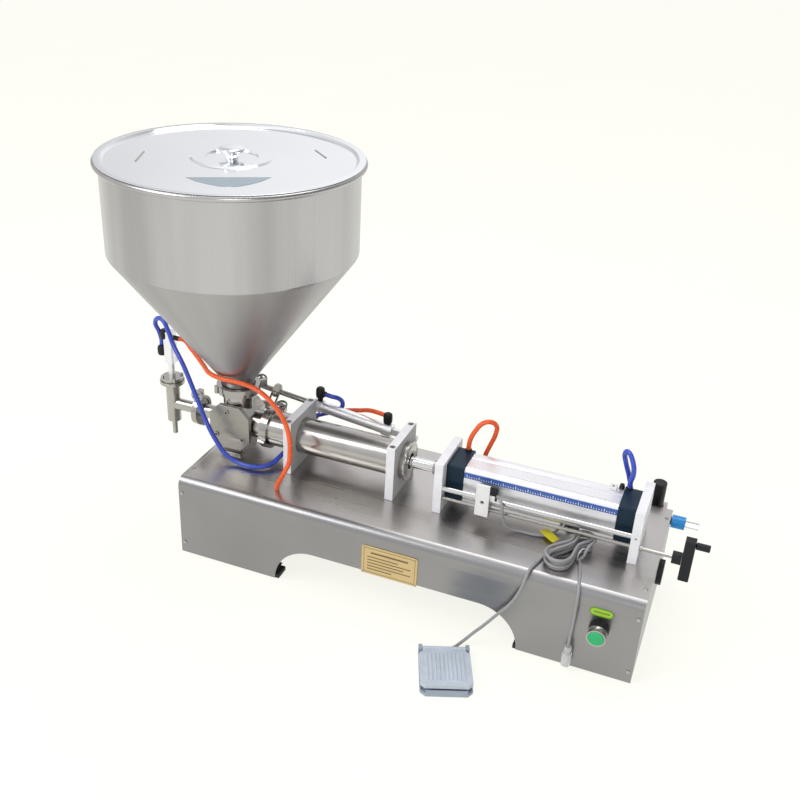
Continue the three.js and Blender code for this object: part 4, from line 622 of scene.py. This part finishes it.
def joined(name, parts, material):
    """One piece of several lists of corners and faces."""
    verts, faces = [], []
    for part_verts, part_faces in parts:
        start = len(verts)
        verts.extend(part_verts)
        faces.extend(tuple(start + i for i in face) for face in part_faces)
    return finished(mesh_of(name, verts, faces), material)


def plate_on(name, outline, low, thick, material):
    """A flat plate of one outline, lying at a level of the cabinet's frame."""
    return joined(name, [prism(outline, low, thick)], material)


def pill(name, x, z, front, material):
    """A thin upright label with round ends, standing forward of the front wall."""
    radius = (z[1] - z[0]) / 2
    middle = (z[0] + z[1]) / 2
    outline = []
    for side, start in ((x[1] - radius, -90), (x[0] + radius, 90)):
        for step in range(13):
            angle = math.radians(start + 15 * step)
            outline.append((side + radius * math.cos(angle), middle + radius * math.sin(angle)))
    count = len(outline)
    verts = [at(a, y, b) for y in (front, -0.05) for a, b in outline]
    faces = [tuple(range(count)), tuple(reversed(range(count, 2 * count)))]
    faces += [(i, (i + 1) % count, count + (i + 1) % count, count + i) for i in range(count)]
    return finished(mesh_of(name, verts, faces), material)


def ball(name, centre, radius, half):
    """A rounded plug fitting: a barrel with domed ends about an upright axis."""
    profile = [(0.01, -half), (radius * 0.6, -half), (radius * 0.9, -half * 0.8), (radius, -half * 0.4),
               (radius, half * 0.4), (radius * 0.9, half * 0.8), (radius * 0.6, half), (0.01, half)]
    return finished(lathe(name, profile, at(*centre), 28), "black")


def torus_of(name, centre, radius, wire):
    """A ring of wire that stands upright, turned a little to the front."""
    turns = [math.tau * i / 8 for i in range(8)]
    ring = [(radius + wire * math.cos(turn), wire * math.sin(turn)) for turn in turns]
    made = lathe(name, ring, Vector((0, 0, 0)), 32, "x")
    made.data.transform(Matrix.Translation(at(*centre)) @ Matrix.Rotation(math.radians(-25), 4, "Z"))
    return made


def block(x, y, z):
    """Corners and faces of a box between places in the cabinet's frame."""
    verts = [at(a, b, c) for a in x for b in y for c in z]
    faces = [(0, 1, 3, 2), (4, 6, 7, 5), (0, 4, 5, 1), (2, 3, 7, 6), (0, 2, 6, 4), (1, 5, 7, 3)]
    return verts, faces


def stud(place, radius, height, count=12, up=False):
    """A low domed head standing forward of a front face, or up from a flat top."""
    x, y, z = place
    verts, faces = [], []
    rings = [(radius, 0), (radius, height * 0.5), (radius * 0.7, height)]
    for ring, lift in rings:
        for i in range(count):
            angle = math.tau * i / count
            a, b = ring * math.cos(angle), ring * math.sin(angle)
            verts.append(at(x + a, y + b, z + lift) if up else at(x + a, y - lift, z + b))
    for k in range(2):
        for i in range(count):
            j = (i + 1) % count
            faces.append((k * count + i, k * count + j, (k + 1) * count + j, (k + 1) * count + i))
    faces.append(tuple(range(2 * count, 3 * count)))
    faces.append(tuple(reversed(range(count))))
    return verts, faces


def slab(name, x, y, z, material, bevel):
    """A plate between places in the cabinet's frame, with rounded edges."""
    piece = joined(name, [block(x, y, z)], material)
    return bevelled(piece, bevel)


# Hopper and lid
WALL, RIM_RADIUS, NECK_RADIUS = 2.0, 200.0, 28.0
CONE_LOW, CONE_HIGH = 284, 519
BEAD, BEAD_Z, BEAD_OPENS, BEAD_STEPS = 4.5, 660.5, 130, 18
ROUND = 144
LID_SHEET = 1.6


def add_hopper():
    """The hopper's sheet from its ferrule up to the rolled rim and back down inside."""
    slope = (RIM_RADIUS - NECK_RADIUS) / (CONE_HIGH - CONE_LOW)
    lean = WALL * (math.sqrt(1 + slope * slope) - 1) / slope
    bead = []
    for i in range(BEAD_STEPS + 1):
        angle = math.radians(-BEAD_OPENS + 2 * BEAD_OPENS * i / BEAD_STEPS)
        bead.append((204.5 + BEAD * math.cos(angle), BEAD_Z + BEAD * math.sin(angle)))
    hem = BEAD * math.sin(math.radians(BEAD_OPENS))
    ferrule = [(25.5, 268), (33.5, 268), (33.5, 271), (28, 271), (28, 283), (29.5, 286.5)]
    bend = [(200 - 1.6, 516.6), (200 - 0.3, 519.0), (200, 521.5)]
    inside = [(198, BEAD_Z + hem), (198, CONE_HIGH + lean), (25.5, CONE_LOW + lean)]
    profile = [*ferrule, *bend, (RIM_RADIUS, BEAD_Z - hem), *bead, *inside]
    hopper = lathe("hopper_dress", profile, HOPPER_AXIS, ROUND)
    finished(hopper, "hopper", "machine", 28)
    hopper.data.materials.append(looks["cone"])
    for face in hopper.data.polygons:
        face.material_index = 1 if face.center.z < CONE_HIGH / 1000 + 0.0005 else 0
    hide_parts("hopper")


def lid_profile():
    """The lid's sheet from its middle out and back, and the knob on it."""
    low, floor, raised = 665.3, 661.3, 663.7
    top = floor + LID_SHEET
    under = [(0.01, floor), (41, floor), (42.5, raised), (60, raised), (62.6, floor), (192, floor),
             (194, floor + 1), (196, low), (205, low), (206, low + 0.4)]
    over = [(206, low + 1.2), (205, low + LID_SHEET), (195.4, low + LID_SHEET), (193, top + 1.2),
            (191.2, top), (64.2, top), (61, raised + LID_SHEET), (40.6, raised + LID_SHEET),
            (38.6, top)]
    knob = [(11, top), (9.5, top + 2), (9, top + 6), (13, top + 8.5), (17.6, top + 9.6),
            (20.2, top + 11.2), (21, top + 13), (20.2, top + 14.8), (17.6, top + 16.2),
            (13, top + 17.2), (7, top + 17.9), (0.01, top + 18.1)]
    return under + over + knob, top


def crescent_outline():
    """A bow over the line between two places on the lid, with its share of the full bow on the way."""
    start, end, bow = (36.5, 13.1), (141.3, 76.3), (24.5, -40.7)
    shares = [(0, 0), (0.12, 0.42), (0.25, 0.72), (0.38, 0.93), (0.5, 1), (0.62, 0.93), (0.75, 0.72),
              (0.88, 0.42), (1, 0)]
    return [(start[0] + (end[0] - start[0]) * along + bow[0] * share,
             start[1] + (end[1] - start[1]) * along + bow[1] * share) for along, share in shares]


def add_lid():
    """The lid with its knob, a thin dark bow of painted reflection and two marks on it."""
    profile, top = lid_profile()
    lid = lathe("hopper_lid_dress", profile, HOPPER_AXIS, ROUND)
    finished(lid, "lid", "lid", 24)
    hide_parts("hopper_lid")
    # Painted reflection: a thin dark bow laid on the lid's top, not a part of the lid
    crescent = plate_on("lid_painted_reflection", crescent_outline(), top + 0.02, 0.25, "crescent")
    marks = joined("lid_marks", [bar_on((-69.8, 46.6), (-89.9, 98.8), 2.2, top, 0.9),
                                 bar_on((130.4, 246), (164, 213.7), 2.2, top, 0.9)], "clamp")
    for piece in (crescent, marks):
        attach(piece, "lid")


add_hopper()
add_lid()


# Small details: plates, labels and fittings too fine for the solids
FRONT = -0.1
PLATE_X, PLATE_Z = (336, 431), (67, 121)
PLATE_LINES = [
    ((340, 427), (70.6, 71.2)), ((340, 427), (116.8, 117.4)), ((340, 340.6), (70.6, 117.4)),
    ((426.4, 427), (70.6, 117.4)), ((352, 415), (107.5, 110.5)), ((346, 398), (100.2, 101.8)),
    ((346, 420), (94.4, 96)), ((346, 408), (88.6, 90.2)), ((346, 420), (82.8, 84.4)),
    ((346, 388), (77, 78.6))]
RULER_X, RULER_Z, TICKS, TICK_PITCH = (461.6, 706.6), (216.6, 226.6), 60, 4
FLAG = [(593, 107), (603, 117.5), (612, 112), (621, 104), (627, 98), (621, 85), (613, 90), (603, 98)]
TUBE_RIM = [(13.4, 357.2), (27.2, 357.2), (27.2, 360.3), (26, 361), (14.4, 361), (13.4, 360.3)]
FLOW_KNOB = [(0.01, 0), (4.6, 0), (4.6, 3), (3.6, 4), (3.6, 7), (0.01, 7.4)]
RED_RING = [(11.6, 0), (12.6, 0.4), (12.6, 3), (11.6, 3.4)]
COVER_FACE, COVER_SCREWS, COVER_RADIUS = 101.3, (98, -34, 214), 30
BRACKET_MIDDLES, BRACKET_TOP = (149.8 + 7.25, 335 + 7.25), 247.15


def plate_pieces():
    """The front wall's plate, with lines in place of its words."""
    plate = slab("brass_plate", PLATE_X, (FRONT - 1.0, FRONT), PLATE_Z, "brass", 0.4)
    lines = joined("brass_plate_lines", [
        block(x, (FRONT - 1.25, FRONT - 0.9), z) for x, z in PLATE_LINES], "print")
    rivets = joined("brass_plate_rivets", [
        stud((x, FRONT - 1, z), 1.5, 0.9) for x in (338.4, 428.6) for z in (69.2, 118.8)], "clamp")
    return [plate, lines, rivets]


def label_pieces():
    """The start button's label, with marks in place of its word."""
    return [
        pill("lime_label_border", (702, 738), (109, 124), FRONT - 0.35, "moss"),
        pill("lime_label", (703.6, 736.4), (110.6, 122.4), FRONT - 0.5, "lime"),
        joined("lime_label_lines", [
            block((709 + 3 * i, 711 + 3 * i), (FRONT - 0.62, FRONT - 0.4), (115.4, 118))
            for i in range(8)], "print")]


def ruler_pieces():
    """The strip along the air cylinder's front, each fifth tick longer."""
    strip = slab("ruler_strip", RULER_X, (109.9, 110.45), RULER_Z, "strip", 0.15)
    ticks = joined("ruler_ticks", [
        block((466 + TICK_PITCH * i, 467.1 + TICK_PITCH * i), (109.7, 110.0),
              (218.4, 221 + (2.4 if i % 5 == 0 else 0)))
        for i in range(TICKS)], "plate")
    return [strip, ticks]


def clip_pieces():
    """The clip on the air cylinder's barrel and the knob beside it."""
    clip = slab("barrel_clip", (683, 695), (152, 168), (232.45, 236), "plate", 0.8)
    dot = joined("barrel_clip_dot", [stud((689, 160, 236), 1.8, 0.6, up=True)], "black")
    knob = finished(lathe("barrel_flow_knob", FLOW_KNOB, at(701.5, 165.5, 232.4), 24), "black")
    return [clip, dot, knob]


def socket_pieces():
    """Black discs of painted shade for the sockets of the screws in the valve's cover and in the split
    brackets.
    """
    turns = [math.radians(angle) for angle in COVER_SCREWS]
    # Painted shade: each socket is a flat black disc, for the shade inside it
    cover = joined("cover_sockets_painted_shade", [
        stud((40 + COVER_RADIUS * math.cos(turn), COVER_FACE, PUMP_Z + COVER_RADIUS * math.sin(turn)),
             2.1, 0.25, 6) for turn in turns], "black")
    brackets = joined("bracket_sockets_painted_shade", [
        stud((x, PUMP_Y + side, BRACKET_TOP), 2.2, 0.2, 6, up=True)
        for x in BRACKET_MIDDLES for side in (-CAP_SCREW_ASIDE, CAP_SCREW_ASIDE)], "black")
    return [cover, brackets]


def add_details():
    """All small details, which stay with the machine apart from the painted shade of the hole in the
    sensor's plate.
    """
    pieces = [*plate_pieces(), *label_pieces(), *ruler_pieces(), *clip_pieces()]
    ring = finished(lathe("regulator_ring", RED_RING, at(750, 302, 130.4), 48), "red")
    flag = plate_on("cable_flag", FLAG, 155.6, 0.6, "yellow")
    # Painted shade: a black disc on the sensor's plate stands in for the shade inside its hole
    hole = joined("sensor_plate_hole_painted_shade", [stud((501.5, 87.95, 196), 3.3, 0.15, 16)], "black")
    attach(hole, "carriage")
    tube_end = finished(lathe("tube_end", [(radius, along - ORIGIN[0]) for radius, along in TUBE_RIM],
                              at(ORIGIN[0], PUMP_Y, PUMP_Z), 72, "x"), "polished")
    knobs = [ball("slim_knob_%d" % x, (x, 204.5, z), 8, 10) for x, z in ((164.5, 254), (292, 234.5))]
    knobs += [ball("nozzle_knob_%d" % z, (x, 137, z), 8, 9) for x, z in ((-108, 305), (-101, 337))]
    tie = finished(torus_of("bundle_tie", (669, 68, 160), 10, 0.7), "plate")
    pieces += [ring, flag, tube_end, tie, *socket_pieces(), *knobs]
    for piece in pieces:
        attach(piece, "machine")


add_details()


# Floor and light
FLOOR_HALF, FLOOR_SUNK = 20, 0.0002


def add_stage():
    """A wide pale floor, a little below the feet."""
    shader = Shader("floor", (0.2, 0.2, 0.186), 0.9)
    shader.set("Emission Color", (1, 1, 0.93, 1))
    shader.set("Emission Strength", 0.84)
    shader.set("Specular IOR Level", 0.0)
    grain = shader.noise(shader.place((3, 3, 3)), 1.0, 2)
    shader.tint(grain, (0.19, 0.19, 0.177), (0.2, 0.2, 0.186))
    corners = ((-1, -1), (1, -1), (1, 1), (-1, 1))
    verts = [(x * FLOOR_HALF, y * FLOOR_HALF, -FLOOR_SUNK) for x, y in corners]
    floor = mesh_of("floor", verts, [(0, 1, 2, 3)])
    floor.data.materials.append(shader.material)
    bpy.context.collection.objects.link(floor)


def ramp(tree, value, steps):
    """A level for each value from 0 to 1. The first two steps are the ends, the others lie between."""
    made = tree.nodes.new("ShaderNodeValToRGB")
    made.color_ramp.interpolation = "EASE"
    for i, (place, level) in enumerate(steps):
        stop = made.color_ramp.elements[i] if i < 2 else made.color_ramp.elements.new(place)
        stop.position = place
        stop.color = (level, level, level * 1.01, 1)
    tree.links.new(value, made.inputs["Fac"])
    return made.outputs["Color"]


def add_world():
    """A studio whose walls differ in brightness round the object and up its height."""
    world = bpy.data.worlds.new("studio")
    bpy.context.scene.world = world
    world.use_nodes = True
    tree = world.node_tree
    back = tree.nodes["Background"]
    back.inputs["Strength"].default_value = 0.85
    coordinates = tree.nodes.new("ShaderNodeTexCoord")
    parts = tree.nodes.new("ShaderNodeSeparateXYZ")
    tree.links.new(coordinates.outputs["Generated"], parts.inputs[0])
    angle = tree.nodes.new("ShaderNodeMath")
    angle.operation = "ARCTAN2"
    tree.links.new(parts.outputs["Y"], angle.inputs[0])
    tree.links.new(parts.outputs["X"], angle.inputs[1])
    turn = tree.nodes.new("ShaderNodeMapRange")
    turn.inputs["From Min"].default_value = -math.pi
    turn.inputs["From Max"].default_value = math.pi
    tree.links.new(angle.outputs[0], turn.inputs["Value"])
    rise = tree.nodes.new("ShaderNodeMapRange")
    rise.inputs["From Min"].default_value = -1
    tree.links.new(parts.outputs["Z"], rise.inputs["Value"])
    walls = ramp(tree, turn.outputs["Result"], [
        (0.0, 1.1), (1.0, 1.1), (0.12, 1.25), (0.21, 1.0), (0.3, 0.95), (0.4, 0.5), (0.5, 0.3),
        (0.6, 0.45), (0.7, 0.85), (0.8, 1.2), (0.9, 0.75)])
    height = ramp(tree, rise.outputs["Result"], [
        (0.0, 0.7), (1.0, 1.1), (0.5, 0.8), (0.56, 0.95), (0.7, 1.05), (0.85, 0.9)])
    both = tree.nodes.new("ShaderNodeVectorMath")
    both.operation = "MULTIPLY"
    tree.links.new(walls, both.inputs[0])
    tree.links.new(height, both.inputs[1])
    tree.links.new(both.outputs[0], back.inputs["Color"])


def add_light(name, place, target, size, power):
    """A soft rectangular lamp that looks at a target."""
    light = bpy.data.lights.new(name, "AREA")
    light.shape = "RECTANGLE"
    light.size, light.size_y = size
    light.energy = power
    obj = bpy.data.objects.new(name, light)
    obj.location = place
    obj.rotation_euler = (Vector(target) - Vector(place)).to_track_quat("-Z", "Y").to_euler()
    bpy.context.collection.objects.link(obj)


add_stage()
add_world()
add_light("key", (-1.6, -1.4, 2.4), (0, 0, 0.25), (1.6, 1.2), 30)
add_light("fill", (1.2, -2.4, 1.4), (0, 0, 0.2), (1.0, 1.6), 11)
add_light("top", (0.2, 0.6, 2.8), (0, 0, 0.2), (2.2, 1.4), 22)
bpy.context.scene.view_settings.view_transform = "Standard"
